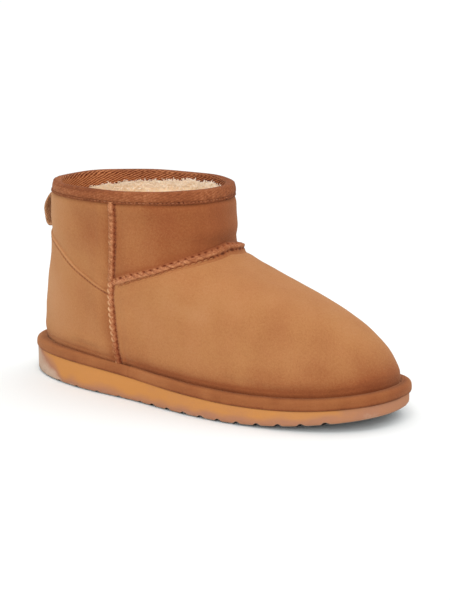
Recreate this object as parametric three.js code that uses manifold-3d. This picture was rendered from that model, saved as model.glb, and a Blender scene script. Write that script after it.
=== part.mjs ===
// A low sheepskin boot for the right foot, in millimetres: +X to the toe, +Y to the inner side, +Z up.
import * as THREE from 'three'
import { mergeVertices } from 'three/addons/utils/BufferGeometryUtils.js'
import Module from 'manifold-3d'

const wasm = await Module()
wasm.setup()

// Sole
const soleLength = 256
const ballWidth = 97.6
const ballAhead = 30.2 // widest line, ahead of the sole's middle
const heelStack = 16.5 // thickness under the heel
const toeStack = 7.9 // thickness at the tip
const toeSpring = 8.1 // how far the tip stands off the floor
const springStart = 6 // where the bottom starts to rise, ahead of the ball line
const springPower = 1.8 // how the rise steepens to the tip
const toeSwing = 12.2 // how far the tip turns to the inner side
const waistInner = 5 // how far the arch draws in on the inner side
const waistOuter = 3.4
const waistBehind = 28 // narrowest line, behind the sole's middle
const waistReach = 34 // how far the narrowing reaches to the front and back
const waistFlank = 0.4 // share of half the ball width, from the middle line, over which it sets in
const heelSquareness = 2.79 // powers of the outline, 2 being an ellipse
const toeSquareness = 2.29
const bottomRounding = 2.8
const topRounding = 0.5

// Cross grooves under the sole
const heelGrooves = { count: 5, first: -88.8, pitch: 17.5, width: 3, depth: 1.5 }
const ballGrooves = { count: 10, first: -8.7, pitch: 12.2, width: 3.4, depth: 2.1 }

// Upper
const bootHeight = 127.8 // floor to the top of the binding
const wall = 3
const insoleThickness = 5
const waistOnUpper = 0.8 // share of the sole's narrowing that the upper's foot has
const waistFadeHeight = 0.45 // share of the upper's height at which it ends
const swingLostUpwards = 0.6 // share of the toe's turn that is gone at the rim

// Overlays, tape and rand
const gap = 0.3 // clearance between neighbouring pieces
const facetSlack = 0.15 // added where two neighbours don't share their rows of faces
const counterThickness = 1
const seamWidth = 3.8
const seamHeight = 1.8
const tapeThickness = 1.2
const bindingOutside = 6 // how far the tape comes down outside the rim
const bindingInside = 6.5
const randHeight = 6.7
const randProud = 0.7 // how far it stands out past the sole's side
const loopTape = 1.8
const loopWidth = 13
const loopReach = 13.5 // how far the loop stands out behind the shaft
const loopDrop = 25

// How finely the curved pieces are divided
const columns = 56
const counterColumns = 26
const loopSteps = 26
const roundingAngles = [0, 30, 60, 90] // of the sole's bottom edge, in degrees
const leastRowStep = 0.01 // closest that two rows of a seam's faces lie, as a share of the height
const weldDistance = 1e-4
const halfColumn = Math.PI / columns

const half = soleLength / 2
const ballHalf = ballWidth / 2
const rimHeight = bootHeight - tapeThickness - gap

// Sole thickness along the boot: at is a share of half the length, share goes from toeStack to heelStack.
const stackRows = [
  { at: -1, share: 1 },
  { at: -0.5, share: 0.99 },
  { at: 0, share: 0.62 },
  { at: 0.4, share: 0.4 },
  { at: 0.75, share: 0.13 },
  { at: 1, share: 0 },
]

// Sections of the upper from its foot to its rim. height is a share of the way up, back, front and wide
// are shares of half the sole's length, side is a share of half the ball width, and the last two are the
// powers of the outline behind and ahead of its widest line.
const upperRows = [
  { height: 0, back: -0.922, front: 0.972, wide: 0.188, side: 0.922, heelPower: 2.7, toePower: 2.38 },
  { height: 0.08, back: -0.931, front: 0.961, wide: 0.156, side: 0.952, heelPower: 2.6, toePower: 2.3 },
  { height: 0.16, back: -0.937, front: 0.936, wide: 0.078, side: 0.963, heelPower: 2.5, toePower: 2.25 },
  { height: 0.25, back: -0.938, front: 0.89, wide: -0.039, side: 0.952, heelPower: 2.4, toePower: 2.2 },
  { height: 0.35, back: -0.926, front: 0.799, wide: -0.156, side: 0.922, heelPower: 2.35, toePower: 2.15 },
  { height: 0.45, back: -0.913, front: 0.645, wide: -0.258, side: 0.901, heelPower: 2.3, toePower: 2.1 },
  { height: 0.55, back: -0.899, front: 0.394, wide: -0.336, side: 0.891, heelPower: 2.25, toePower: 2.1 },
  { height: 0.64, back: -0.89, front: 0.159, wide: -0.383, side: 0.891, heelPower: 2.2, toePower: 2.1 },
  { height: 0.72, back: -0.884, front: 0.099, wide: -0.398, side: 0.901, heelPower: 2.2, toePower: 2.1 },
  { height: 0.8, back: -0.887, front: 0.102, wide: -0.398, side: 0.912, heelPower: 2.15, toePower: 2.1 },
  { height: 1, back: -0.845, front: 0.068, wide: -0.391, side: 0.967, heelPower: 2.1, toePower: 2.1 },
]

// Heights, as shares, at which the upper's wall has its rows of faces.
const wallRows = [
  0, 0.04, 0.08, 0.13, 0.18, 0.24, 0.3, 0.36, 0.42, 0.47, 0.515, 0.55, 0.58, 0.605, 0.63, 0.65, 0.67, 0.69,
  0.72, 0.78, 0.88, 1,
]

// Line of the side seams: along is a share of half the sole's length.
const sideSeamRows = [
  { height: 0, along: -0.274 },
  { height: 0.13, along: -0.282 },
  { height: 0.25, along: -0.295 },
  { height: 0.43, along: -0.311 },
  { height: 0.6, along: -0.306 },
  { height: 0.8, along: -0.296 },
  { height: 1, along: -0.279 },
]

// Line of the vamp seam: turn is the angle from the toe's direction in degrees.
const vampSeamRows = [
  { turn: 0, height: 0.698 },
  { turn: 30, height: 0.663 },
  { turn: 60, height: 0.607 },
  { turn: 80, height: 0.549 },
  { turn: 95, height: 0.48 },
]

// Upper edge of the heel counter: aside is a share of the way from the heel's middle to a side seam.
const counterRows = [
  { aside: 0, height: 0.735 },
  { aside: 0.3, height: 0.705 },
  { aside: 0.54, height: 0.652 },
  { aside: 0.77, height: 0.553 },
  { aside: 1, height: 0.45 },
]

// Middle line of the pull loop, outer strand first: shares of its reach and of its drop.
const loopRows = [
  { out: 0.1, down: 0 },
  { out: 0.34, down: 0.07 },
  { out: 0.74, down: 0.26 },
  { out: 0.92, down: 0.5 },
  { out: 0.86, down: 0.78 },
  { out: 0.72, down: 0.94 },
  { out: 0.54, down: 0.93 },
  { out: 0.37, down: 0.7 },
  { out: 0.21, down: 0.4 },
  { out: 0.125, down: 0.14 },
]

// Section of a raised seam: across is a share of its half width, up a share of its height.
const ridgeRows = [
  { across: -1, up: 0.22 },
  { across: -0.62, up: 0.82 },
  { across: 0, up: 1 },
  { across: 0.62, up: 0.82 },
  { across: 1, up: 0.22 },
]

// Outside of the rand: out goes from the upper to the rand's outer side, up is a share of its height.
const randRows = [
  { out: 0, up: 0 },
  { out: 0, up: 0.42 },
  { out: 0.04, up: 0.8 },
  { out: 0.3, up: 0.97 },
  { out: 0.6, up: 1 },
  { out: 0.88, up: 0.86 },
  { out: 1, up: 0.55 },
  { out: 1, up: 0.08 },
  { out: 0.93, up: 0 },
]

// Smooth curve through the named columns of a table, held at its ends.
function curve(rows, from, to) {
  const xs = rows.map((row) => row[from])
  const ys = rows.map((row) => row[to])
  const last = xs.length - 1
  const steps = xs.slice(1).map((x, i) => x - xs[i])
  const rises = steps.map((step, i) => (ys[i + 1] - ys[i]) / step)
  const slopes = xs.map((x, i) => {
    if (i === 0) return rises[0]
    if (i === last) return rises[last - 1]
    return (rises[i - 1] * steps[i] + rises[i] * steps[i - 1]) / (steps[i] + steps[i - 1])
  })
  return (value) => {
    const x = Math.min(Math.max(value, xs[0]), xs[last])
    let i = 0
    while (i < last - 1 && x > xs[i + 1]) i += 1
    const k = (x - xs[i]) / steps[i]
    const startShare = 2 * k ** 3 - 3 * k ** 2 + 1
    const startSlope = (k ** 3 - 2 * k ** 2 + k) * steps[i]
    const endSlope = (k ** 3 - k ** 2) * steps[i]
    const between = startShare * ys[i] + (1 - startShare) * ys[i + 1]
    return between + startSlope * slopes[i] + endSlope * slopes[i + 1]
  }
}

const stackShare = curve(stackRows, 'at', 'share')
const sideSeamAlong = curve(sideSeamRows, 'height', 'along')
const vampSeamHeight = curve(vampSeamRows, 'turn', 'height')
const counterEdge = curve(counterRows, 'aside', 'height')
const section = {}
for (const column of ['back', 'front', 'wide', 'side', 'heelPower', 'toePower']) {
  section[column] = curve(upperRows, 'height', column)
}

// Closed outline round a long axis; turn 0 looks to the toe and a quarter turn to the inner side.
function oval(turn, { back, front, wide, side, heelPower, toePower }) {
  const c = Math.cos(turn)
  const s = Math.sin(turn)
  const power = 2 / (c >= 0 ? toePower : heelPower)
  const reach = c >= 0 ? front - wide : wide - back
  return [wide + Math.sign(c) * reach * Math.abs(c) ** power, Math.sign(s) * side * Math.abs(s) ** power]
}

// Turn at which such an outline reaches x.
function turnAt(x, { back, front, wide, heelPower, toePower }) {
  const ahead = x >= wide
  const reach = ahead ? front - wide : wide - back
  const c = (Math.abs(x - wide) / reach) ** ((ahead ? toePower : heelPower) / 2)
  return Math.acos(ahead ? c : -c)
}

// Sideways turn of the toe, and the narrowing at the arch.
function swing(x) {
  return toeSwing * Math.max(x / half, 0) ** 2
}

function waist(x, y) {
  const flank = Math.min(Math.abs(y) / (ballHalf * waistFlank), 1)
  const depth = flank * Math.exp(-(((x + waistBehind) / waistReach) ** 2))
  return y > 0 ? -waistInner * depth : waistOuter * depth
}

function springAt(x) {
  const start = ballAhead + springStart
  return toeSpring * Math.max((x - start) / (half - start), 0) ** springPower
}

function soleTop(x) {
  return toeStack + (heelStack - toeStack) * stackShare(x / half) + springAt(x)
}

// Outline of the sole, moved outwards by a distance.
function soleOutline(turn, outwards) {
  const shape = {
    back: -half,
    front: half,
    wide: ballAhead,
    side: ballHalf,
    heelPower: heelSquareness,
    toePower: toeSquareness,
  }
  const place = (angle) => {
    const [x, y] = oval(angle, shape)
    return [x, y + waist(x, y) + swing(x)]
  }
  const step = 0.002
  const [x, y] = place(turn)
  const [x0, y0] = place(turn - step)
  const [x1, y1] = place(turn + step)
  const length = Math.hypot(x1 - x0, y1 - y0)
  return [x + ((y1 - y0) / length) * outwards, y - ((x1 - x0) / length) * outwards]
}

// Height of a share of the way from the upper's foot to its rim.
function heightAt(x, share) {
  return (soleTop(x) + gap) * (1 - share) + rimHeight * share
}

// Share of the way up for a height above the upper's foot.
function shareOf(height, x = 0) {
  return height / (rimHeight - soleTop(x) - gap)
}

function sectionAt(share) {
  const shape = {}
  for (const column in section) shape[column] = section[column](share)
  for (const column of ['back', 'front', 'wide']) shape[column] *= half
  shape.side *= ballHalf
  return shape
}

// Outer face of the upper.
function skinPoint(turn, share) {
  const [x, y0] = oval(turn, sectionAt(share))
  const narrowed = Math.max(1 - share / waistFadeHeight, 0) * waistOnUpper
  const y = y0 + waist(x, y0) * narrowed + swing(x) * (1 - share * swingLostUpwards)
  return new THREE.Vector3(x, y, heightAt(x, share))
}

function skinNormal(turn, share) {
  const step = 0.004
  const low = Math.max(share - step, 0)
  const high = Math.min(share + step, 1)
  const around = skinPoint(turn + step, share).sub(skinPoint(turn - step, share))
  const upwards = skinPoint(turn, high).sub(skinPoint(turn, low))
  return around.cross(upwards).normalize()
}

// Point at a distance off the upper's outer face; at its foot and rim it keeps their height.
function skin(turn, share, off) {
  const normal = skinNormal(turn, share)
  const edge = share <= 0 || share >= 1
  if (edge) normal.setZ(0).normalize()
  const point = skinPoint(turn, share).addScaledVector(normal, off)
  if (edge) point.z = heightAt(point.x, share)
  return point
}

// Length on the upper's face for one radian of turn, or for the whole way up.
function speedAround(turn, share) {
  const step = 0.01
  return skinPoint(turn + step, share).distanceTo(skinPoint(turn - step, share)) / (2 * step)
}

function speedUp(turn, share) {
  const step = 0.01
  return skinPoint(turn, share + step).distanceTo(skinPoint(turn, share - step)) / (2 * step)
}

// Turn of the side seams at a share of the way up, moved towards the toe by a distance.
function sideSeamTurn(share, ahead) {
  return turnAt(sideSeamAlong(share) * half + ahead, sectionAt(share))
}

// Solid through rings of the same count. An open solid is closed with strips between the ring's two
// halves, point by point from its two ends.
function loft(rings, closed) {
  const count = rings[0].length
  const points = rings.flat()
  const faces = []
  const spans = closed ? rings.length : rings.length - 1
  for (let i = 0; i < spans; i += 1) {
    const low = i * count
    const high = ((i + 1) % rings.length) * count
    for (let j = 0; j < count; j += 1) {
      const k = (j + 1) % count
      faces.push([low + j, low + k, high + k], [low + j, high + k, high + j])
    }
  }
  if (!closed) {
    const end = (rings.length - 1) * count
    for (let j = 0; j < count / 2 - 1; j += 1) {
      const k = count - 1 - j
      faces.push([j, k, k - 1], [j, k - 1, j + 1])
      faces.push([end + j, end + k - 1, end + k], [end + j, end + j + 1, end + k - 1])
    }
  }
  const volume = faces.reduce((sum, [a, b, c]) => {
    return sum + points[a].dot(new THREE.Vector3().crossVectors(points[b], points[c]))
  }, 0)
  const geometry = new THREE.BufferGeometry()
  geometry.setAttribute('position', new THREE.Float32BufferAttribute(points.flatMap((p) => p.toArray()), 3))
  geometry.setIndex(volume > 0 ? faces.flat() : faces.flatMap(([a, b, c]) => [a, c, b]))
  return geometry
}

function toSolid(geometry) {
  const bare = geometry.clone()
  bare.deleteAttribute('normal')
  bare.deleteAttribute('uv')
  const merged = mergeVertices(bare, weldDistance)
  const vertProperties = new Float32Array(merged.attributes.position.array)
  const triVerts = new Uint32Array(merged.index.array)
  return new wasm.Manifold(new wasm.Mesh({ numProp: 3, vertProperties, triVerts }))
}

function fromSolid(solid) {
  const mesh = solid.getMesh()
  const geometry = new THREE.BufferGeometry()
  geometry.setAttribute('position', new THREE.BufferAttribute(new Float32Array(mesh.vertProperties), 3))
  geometry.setIndex(new THREE.BufferAttribute(new Uint32Array(mesh.triVerts), 1))
  return geometry
}

// Turns of the columns of faces, half a column off the toe so that each has its mirror image.
const turns = Array.from({ length: columns }, (none, i) => (2 * i + 1) * halfColumn)

function ring(place) {
  return turns.map((turn) => place(turn))
}

// Sole: its rounded bottom edge, side and top edge. The grooves are cut across it after that.
function soleBlank() {
  const low = roundingAngles.map((degrees) => {
    const angle = THREE.MathUtils.degToRad(degrees)
    return ring((turn) => {
      const [x, y] = soleOutline(turn, -bottomRounding * (1 - Math.sin(angle)))
      return new THREE.Vector3(x, y, springAt(x) + bottomRounding * (1 - Math.cos(angle)))
    })
  })
  const high = [0, 1].map((inwards) => {
    return ring((turn) => {
      const [x, y] = soleOutline(turn, -topRounding * inwards)
      return new THREE.Vector3(x, y, soleTop(x) - topRounding * (1 - inwards))
    })
  })
  return loft([...low, ...high], false)
}

// What one groove takes away: straight below the sole's bottom, round above it.
function groove(x, { width, depth }) {
  const shape = new THREE.Shape()
  shape.moveTo(-width / 2, -depth)
  shape.lineTo(width / 2, -depth)
  shape.lineTo(width / 2, 0)
  shape.absellipse(0, 0, width / 2, depth, 0, Math.PI, false, 0)
  const across = { depth: 2 * ballWidth, bevelEnabled: false, curveSegments: 3 }
  const geometry = new THREE.ExtrudeGeometry(shape, across)
  geometry.translate(0, 0, -ballWidth)
  geometry.rotateX(Math.PI / 2)
  geometry.rotateY(-Math.atan2(springAt(x + 1) - springAt(x - 1), 2))
  geometry.translate(x, 0, springAt(x))
  return geometry
}

function sole() {
  let solid = toSolid(soleBlank())
  for (const row of [heelGrooves, ballGrooves]) {
    for (let i = 0; i < row.count; i += 1) {
      solid = solid.subtract(toSolid(groove(row.first + i * row.pitch, row)))
    }
  }
  return fromSolid(solid)
}

// Upper: outer face up, over the rim, and inner face down, swept all the way round.
function upper() {
  const down = [...wallRows].reverse()
  return loft(ring((turn) => [
    ...wallRows.map((share) => skin(turn, share, 0)),
    ...down.map((share) => skin(turn, share, -wall)),
  ]), true)
}

// Insole: lies on the sole inside the upper's wall.
function insole() {
  return loft([0, 0.5, 1].map((level) => {
    const share = shareOf(insoleThickness * level)
    return ring((turn) => skin(turn, share, -wall - gap))
  }), false)
}

// Rand: lies on the sole, its inner face against the upper and round the heel against the counter.
function rand() {
  const counterFront = sideSeamAlong(0) * half + (2 * soleLength) / columns
  return loft(ring((turn) => {
    const [x, y] = soleOutline(turn, randProud)
    const onCounter = skinPoint(turn, 0).x < counterFront
    const off = onCounter ? 2 * gap + counterThickness + facetSlack : gap
    return randRows.map(({ out, up }) => {
      const inner = skin(turn, shareOf(randHeight * up), off)
      const outer = new THREE.Vector3(x, y, 0)
      const point = inner.lerp(outer, out)
      point.z = soleTop(point.x) + gap + randHeight * up
      return point
    })
  }), true)
}

// Binding: folded tape over the rim, its outer leg, its top and its inner leg.
function binding() {
  const outside = 1 - shareOf(bindingOutside)
  const inside = 1 - shareOf(bindingInside)
  const bend = tapeThickness / 2
  const near = gap
  const far = gap + tapeThickness
  const shoulder = gap - bend
  const place = (turn, share, off, above) => skin(turn, share, off).add(new THREE.Vector3(0, 0, above))
  return loft(ring((turn) => [
    place(turn, outside, near, 0),
    place(turn, outside, far, 0),
    place(turn, 1, far, shoulder),
    place(turn, 1, far - bend, far),
    place(turn, 1, -wall - far + bend, far),
    place(turn, 1, -wall - far, shoulder),
    place(turn, inside, -wall - far, 0),
    place(turn, inside, -wall - near, 0),
    place(turn, 1, -wall - near, near),
    place(turn, 1, near, near),
  ]), true)
}

// One ring of a raised seam: the face on the upper, then the rounded back the other way.
function ridge(place) {
  const back = [...ridgeRows].reverse()
  return [
    ...ridgeRows.map(({ across }) => place(across * seamWidth / 2, gap + facetSlack)),
    ...back.map(({ across, up }) => place(across * seamWidth / 2, gap + seamHeight * up)),
  ]
}

// Side seam: from the rand up to the binding. side is -1 on the outer side and 1 on the inner side.
function sideSeam(side) {
  const foot = shareOf(randHeight + 2 * gap, sideSeamAlong(0) * half)
  const head = 1 - shareOf(bindingOutside + gap)
  const between = wallRows.filter((share) => share > foot + leastRowStep && share < head - leastRowStep)
  return loft([foot, ...between, head].map((share) => ridge((across, off) => {
    const turn = side * sideSeamTurn(share, 0)
    return skin(turn + across / speedAround(turn, share), share, off)
  })), false)
}

// Vamp seam: round the front of the shaft. Its ends follow the edges of the side seams.
function vampSeam() {
  const heightOf = (turn) => vampSeamHeight(THREE.MathUtils.radToDeg(Math.abs(turn)))
  const reachAt = (share) => sideSeamTurn(share, seamWidth / 2 + 2 * gap)
  const passes = 4
  let end = Math.PI / 2
  for (let pass = 0; pass < passes; pass += 1) end = reachAt(heightOf(end))
  const between = turns.map((turn) => turn - Math.PI).filter((turn) => Math.abs(turn) < end - halfColumn)
  return loft([-end, ...between, end].map((turn) => ridge((across, off) => {
    const middle = heightOf(turn)
    const share = middle + across / speedUp(turn, middle)
    return skin(Math.abs(turn) < end ? turn : Math.sign(turn) * reachAt(share), share, off)
  })), false)
}

// Heel counter: a layer over the upper between the side seams, under its curved upper edge.
function heelCounter() {
  const straight = wallRows.filter((share) => share < counterEdge(1) - 2 * leastRowStep)
  const start = straight.at(-1)
  const rings = Array.from({ length: counterColumns + 1 }, (none, i) => {
    const aside = (2 * i) / counterColumns - 1
    const rise = counterEdge(Math.abs(aside)) - start
    const shares = [...straight, start + rise / 3, start + (2 * rise) / 3, start + rise]
    const place = (share, off) => {
      const reach = Math.PI - sideSeamTurn(share, -seamWidth / 2 - gap)
      return skin(Math.PI + aside * reach, share, off)
    }
    return [
      ...shares.map((share) => place(share, gap)),
      ...shares.reverse().map((share) => place(share, gap + counterThickness)),
    ]
  })
  return loft(rings, false)
}

// Pull loop: tape folded into a drop, hanging behind the shaft from the binding's lower edge.
function pullLoop() {
  const head = 1 - shareOf(bindingOutside + gap)
  const top = skinPoint(Math.PI, head).z - loopTape / 2
  const points = loopRows.map(({ out, down }) => {
    const z = top - down * loopDrop
    const share = head - shareOf(down * loopDrop)
    return new THREE.Vector3(skinPoint(Math.PI, share).x - out * loopReach, 0, z)
  })
  const line = new THREE.CatmullRomCurve3(points, true, 'centripetal')
  return loft(Array.from({ length: loopSteps }, (none, i) => {
    const middle = line.getPointAt(i / loopSteps)
    const along = line.getTangentAt(i / loopSteps)
    const across = new THREE.Vector3(along.z, 0, -along.x).multiplyScalar(loopTape / 2)
    const aside = new THREE.Vector3(0, loopWidth / 2, 0)
    return [
      middle.clone().add(across).add(aside),
      middle.clone().add(across).sub(aside),
      middle.clone().sub(across).sub(aside),
      middle.clone().sub(across).add(aside),
    ]
  }), true)
}

// Materials
const suede = new THREE.MeshStandardMaterial({ color: '#b9784a', roughness: 0.95, metalness: 0 })
const darkSuede = new THREE.MeshStandardMaterial({ color: '#a5663c', roughness: 0.95, metalness: 0 })
const tape = new THREE.MeshStandardMaterial({ color: '#96603a', roughness: 0.9, metalness: 0 })
const foam = new THREE.MeshStandardMaterial({ color: '#cd8f50', roughness: 0.7, metalness: 0 })
const wool = new THREE.MeshStandardMaterial({ color: '#e9dcc3', roughness: 1, metalness: 0 })

const boot = new THREE.Group()

function add(name, geometry, material) {
  const mesh = new THREE.Mesh(geometry, material)
  mesh.name = name
  boot.add(mesh)
}

add('sole', sole(), foam)
add('rand', rand(), darkSuede)
add('upper', upper(), suede)
add('insole', insole(), wool)
add('heel_counter', heelCounter(), suede)
add('side_seam_lateral', sideSeam(-1), suede)
add('side_seam_medial', sideSeam(1), suede)
add('vamp_seam', vampSeam(), suede)
add('binding', binding(), tape)
add('pull_loop', pullLoop(), tape)

// The origin is the middle of the boot's box, on the floor.
const box = new THREE.Box3().setFromObject(boot)
const centre = box.getCenter(new THREE.Vector3())
boot.position.set(-centre.x, -centre.y, -box.min.z)

export default boot
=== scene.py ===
"""Looks of a low sheepskin boot for the right foot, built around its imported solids.

Lengths are in metres: +X to the toe, +Y to the inner side, +Z up. The solids' own form is worked out
again here, from the same sizes and tables, so that finer meshes lie exactly where the solids do.
"""

import math

import bpy
import numpy as np
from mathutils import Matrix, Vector


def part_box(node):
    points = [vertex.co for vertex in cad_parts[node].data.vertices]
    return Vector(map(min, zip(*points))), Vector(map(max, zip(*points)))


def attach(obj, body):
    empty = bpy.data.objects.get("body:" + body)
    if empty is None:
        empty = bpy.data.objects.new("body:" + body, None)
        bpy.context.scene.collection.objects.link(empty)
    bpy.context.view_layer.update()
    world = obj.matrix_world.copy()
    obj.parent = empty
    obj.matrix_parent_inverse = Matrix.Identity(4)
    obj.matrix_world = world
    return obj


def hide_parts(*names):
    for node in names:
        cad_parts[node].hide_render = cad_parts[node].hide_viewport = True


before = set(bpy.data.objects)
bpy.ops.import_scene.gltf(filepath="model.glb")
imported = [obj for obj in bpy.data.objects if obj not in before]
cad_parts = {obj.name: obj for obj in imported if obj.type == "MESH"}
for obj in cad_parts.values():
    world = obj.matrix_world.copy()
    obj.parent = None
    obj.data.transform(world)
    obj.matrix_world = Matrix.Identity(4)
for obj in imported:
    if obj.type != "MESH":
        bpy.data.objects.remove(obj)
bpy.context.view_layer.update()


def table(columns, *rows):
    """Rows with named columns."""
    names = columns.split()
    return [dict(zip(names, row)) for row in rows]


# Sizes of the solids: sole
SOLE_LENGTH = 0.256
BALL_WIDTH = 0.0976
BALL_AHEAD = 0.0302
HEEL_STACK = 0.0165
TOE_STACK = 0.0079
TOE_SPRING = 0.0081
SPRING_START = 0.006
SPRING_POWER = 1.8
TOE_SWING = 0.0122
WAIST_INNER = 0.005
WAIST_OUTER = 0.0034
WAIST_BEHIND = 0.028
WAIST_REACH = 0.034
WAIST_FLANK = 0.4
HEEL_SQUARENESS = 2.79
TOE_SQUARENESS = 2.29
BOTTOM_ROUNDING = 0.0028
TOP_ROUNDING = 0.0005
HEEL_GROOVES = {"count": 5, "first": -0.0888, "pitch": 0.0175, "width": 0.003, "depth": 0.0015}
BALL_GROOVES = {"count": 10, "first": -0.0087, "pitch": 0.0122, "width": 0.0034, "depth": 0.0021}

# Sizes of the solids: upper, overlays, tape and rand
BOOT_HEIGHT = 0.1278
WALL = 0.003
INSOLE_THICKNESS = 0.005
WAIST_ON_UPPER = 0.8
WAIST_FADE_HEIGHT = 0.45
SWING_LOST_UPWARDS = 0.6
GAP = 0.0003
COUNTER_THICKNESS = 0.001
TAPE_THICKNESS = 0.0012
BINDING_OUTSIDE = 0.006
BINDING_INSIDE = 0.0065
RAND_HEIGHT = 0.0067
RAND_PROUD = 0.0007
LOOP_TAPE = 0.0018
LOOP_WIDTH = 0.013
LOOP_REACH = 0.0135
LOOP_DROP = 0.025
SOLID_COLUMNS = 56

HALF = SOLE_LENGTH / 2
BALL_HALF = BALL_WIDTH / 2
RIM_HEIGHT = BOOT_HEIGHT - TAPE_THICKNESS - GAP

STACK_ROWS = table("at share", (-1, 1), (-0.5, 0.99), (0, 0.62), (0.4, 0.4), (0.75, 0.13), (1, 0))

UPPER_ROWS = table(
    "height back front wide side heel_power toe_power",
    (0, -0.922, 0.972, 0.188, 0.922, 2.7, 2.38),
    (0.08, -0.931, 0.961, 0.156, 0.952, 2.6, 2.3),
    (0.16, -0.937, 0.936, 0.078, 0.963, 2.5, 2.25),
    (0.25, -0.938, 0.89, -0.039, 0.952, 2.4, 2.2),
    (0.35, -0.926, 0.799, -0.156, 0.922, 2.35, 2.15),
    (0.45, -0.913, 0.645, -0.258, 0.901, 2.3, 2.1),
    (0.55, -0.899, 0.394, -0.336, 0.891, 2.25, 2.1),
    (0.64, -0.89, 0.159, -0.383, 0.891, 2.2, 2.1),
    (0.72, -0.884, 0.099, -0.398, 0.901, 2.2, 2.1),
    (0.8, -0.887, 0.102, -0.398, 0.912, 2.15, 2.1),
    (1, -0.845, 0.068, -0.391, 0.967, 2.1, 2.1),
)

SIDE_SEAM_ROWS = table(
    "height along",
    (0, -0.274), (0.13, -0.282), (0.25, -0.295), (0.43, -0.311), (0.6, -0.306), (0.8, -0.296), (1, -0.279),
)

VAMP_SEAM_ROWS = table(
    "turn height",
    (0, 0.698), (30, 0.663), (60, 0.607), (80, 0.549), (95, 0.48),
)

COUNTER_ROWS = table(
    "aside height",
    (0, 0.735), (0.3, 0.705), (0.54, 0.652), (0.77, 0.553), (1, 0.45),
)

LOOP_ROWS = table(
    "out down",
    (0.1, 0), (0.34, 0.07), (0.76, 0.26), (0.97, 0.54), (0.93, 0.84), (0.79, 1.03), (0.58, 1.01),
    (0.37, 0.7), (0.21, 0.4), (0.125, 0.14),
)


# The form


def hermite(k, low, high, low_slope, high_slope):
    """Smooth run from low to high while k goes from 0 to 1, with these slopes at its ends."""
    start = 2 * k**3 - 3 * k**2 + 1
    return start * low + (1 - start) * high + (k**3 - 2 * k**2 + k) * low_slope + (k**3 - k**2) * high_slope


def curve(rows, source, target):
    """Smooth curve through two columns of a table, held at its ends."""
    xs = np.array([row[source] for row in rows], float)
    ys = np.array([row[target] for row in rows], float)
    steps = np.diff(xs)
    rises = np.diff(ys) / steps
    inner = (rises[:-1] * steps[1:] + rises[1:] * steps[:-1]) / (steps[1:] + steps[:-1])
    slopes = np.concatenate([rises[:1], inner, rises[-1:]])

    def at(value):
        x = np.clip(value, xs[0], xs[-1])
        i = np.clip(np.searchsorted(xs, x, side="right") - 1, 0, len(xs) - 2)
        step = steps[i]
        return hermite((x - xs[i]) / step, ys[i], ys[i + 1], slopes[i] * step, slopes[i + 1] * step)

    return at


stack_share = curve(STACK_ROWS, "at", "share")
side_seam_along = curve(SIDE_SEAM_ROWS, "height", "along")
vamp_seam_height = curve(VAMP_SEAM_ROWS, "turn", "height")
counter_edge = curve(COUNTER_ROWS, "aside", "height")
SECTION = {
    column: curve(UPPER_ROWS, "height", column)
    for column in ("back", "front", "wide", "side", "heel_power", "toe_power")
}


def smooth(low, high, value):
    """0 below low, 1 above high, and a smooth step between."""
    k = np.clip((value - low) / (high - low), 0, 1)
    return k * k * (3 - 2 * k)


def bell(distance, reach, power=2):
    """1 at no distance and nought past the reach; a power of 4 gives it a flat top."""
    return np.exp(-((distance / reach) ** power))


def oval(turn, shape):
    """Closed outline round a long axis; turn 0 looks to the toe and a quarter turn to the inner side."""
    c, s = np.cos(turn), np.sin(turn)
    power = 2 / np.where(c >= 0, shape["toe_power"], shape["heel_power"])
    reach = np.where(c >= 0, shape["front"] - shape["wide"], shape["wide"] - shape["back"])
    x = shape["wide"] + np.sign(c) * reach * np.abs(c) ** power
    return x, np.sign(s) * shape["side"] * np.abs(s) ** power


def turn_at(x, shape):
    """Turn, from 0 to half a circle, at which such an outline reaches x."""
    ahead = x >= shape["wide"]
    reach = np.where(ahead, shape["front"] - shape["wide"], shape["wide"] - shape["back"])
    power = np.where(ahead, shape["toe_power"], shape["heel_power"]) / 2
    c = np.clip(np.abs(x - shape["wide"]) / reach, 0, 1) ** power
    return np.arccos(np.where(ahead, c, -c))


def swing(x):
    return TOE_SWING * np.maximum(x / HALF, 0) ** 2


def waist(x, y):
    flank = np.minimum(np.abs(y) / (BALL_HALF * WAIST_FLANK), 1)
    depth = flank * bell(x + WAIST_BEHIND, WAIST_REACH)
    return np.where(y > 0, -WAIST_INNER, WAIST_OUTER) * depth


def spring_at(x):
    start = BALL_AHEAD + SPRING_START
    return TOE_SPRING * np.maximum((x - start) / (HALF - start), 0) ** SPRING_POWER


def sole_top(x):
    return TOE_STACK + (HEEL_STACK - TOE_STACK) * stack_share(x / HALF) + spring_at(x)


SOLE_SHAPE = {
    "back": -HALF, "front": HALF, "wide": BALL_AHEAD, "side": BALL_HALF,
    "heel_power": HEEL_SQUARENESS, "toe_power": TOE_SQUARENESS,
}


def sole_outline(turn, outwards):
    """Outline of the sole, moved outwards by a distance."""

    def place(angle):
        x, y = oval(angle, SOLE_SHAPE)
        return x, y + waist(x, y) + swing(x)

    step = 0.002
    x, y = place(turn)
    x0, y0 = place(turn - step)
    x1, y1 = place(turn + step)
    length = np.hypot(x1 - x0, y1 - y0)
    return x + (y1 - y0) / length * outwards, y - (x1 - x0) / length * outwards


def height_at(x, share):
    return (sole_top(x) + GAP) * (1 - share) + RIM_HEIGHT * share


def wall_height(x):
    """Height of the upper from its foot to its rim."""
    return RIM_HEIGHT - sole_top(x) - GAP


def share_of(height, x=0.0):
    """Share of the way up for a height above the upper's foot."""
    return height / wall_height(x)


def section_at(share):
    shape = {column: at(share) for column, at in SECTION.items()}
    for column in ("back", "front", "wide"):
        shape[column] = shape[column] * HALF
    shape["side"] = shape["side"] * BALL_HALF
    return shape


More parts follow.
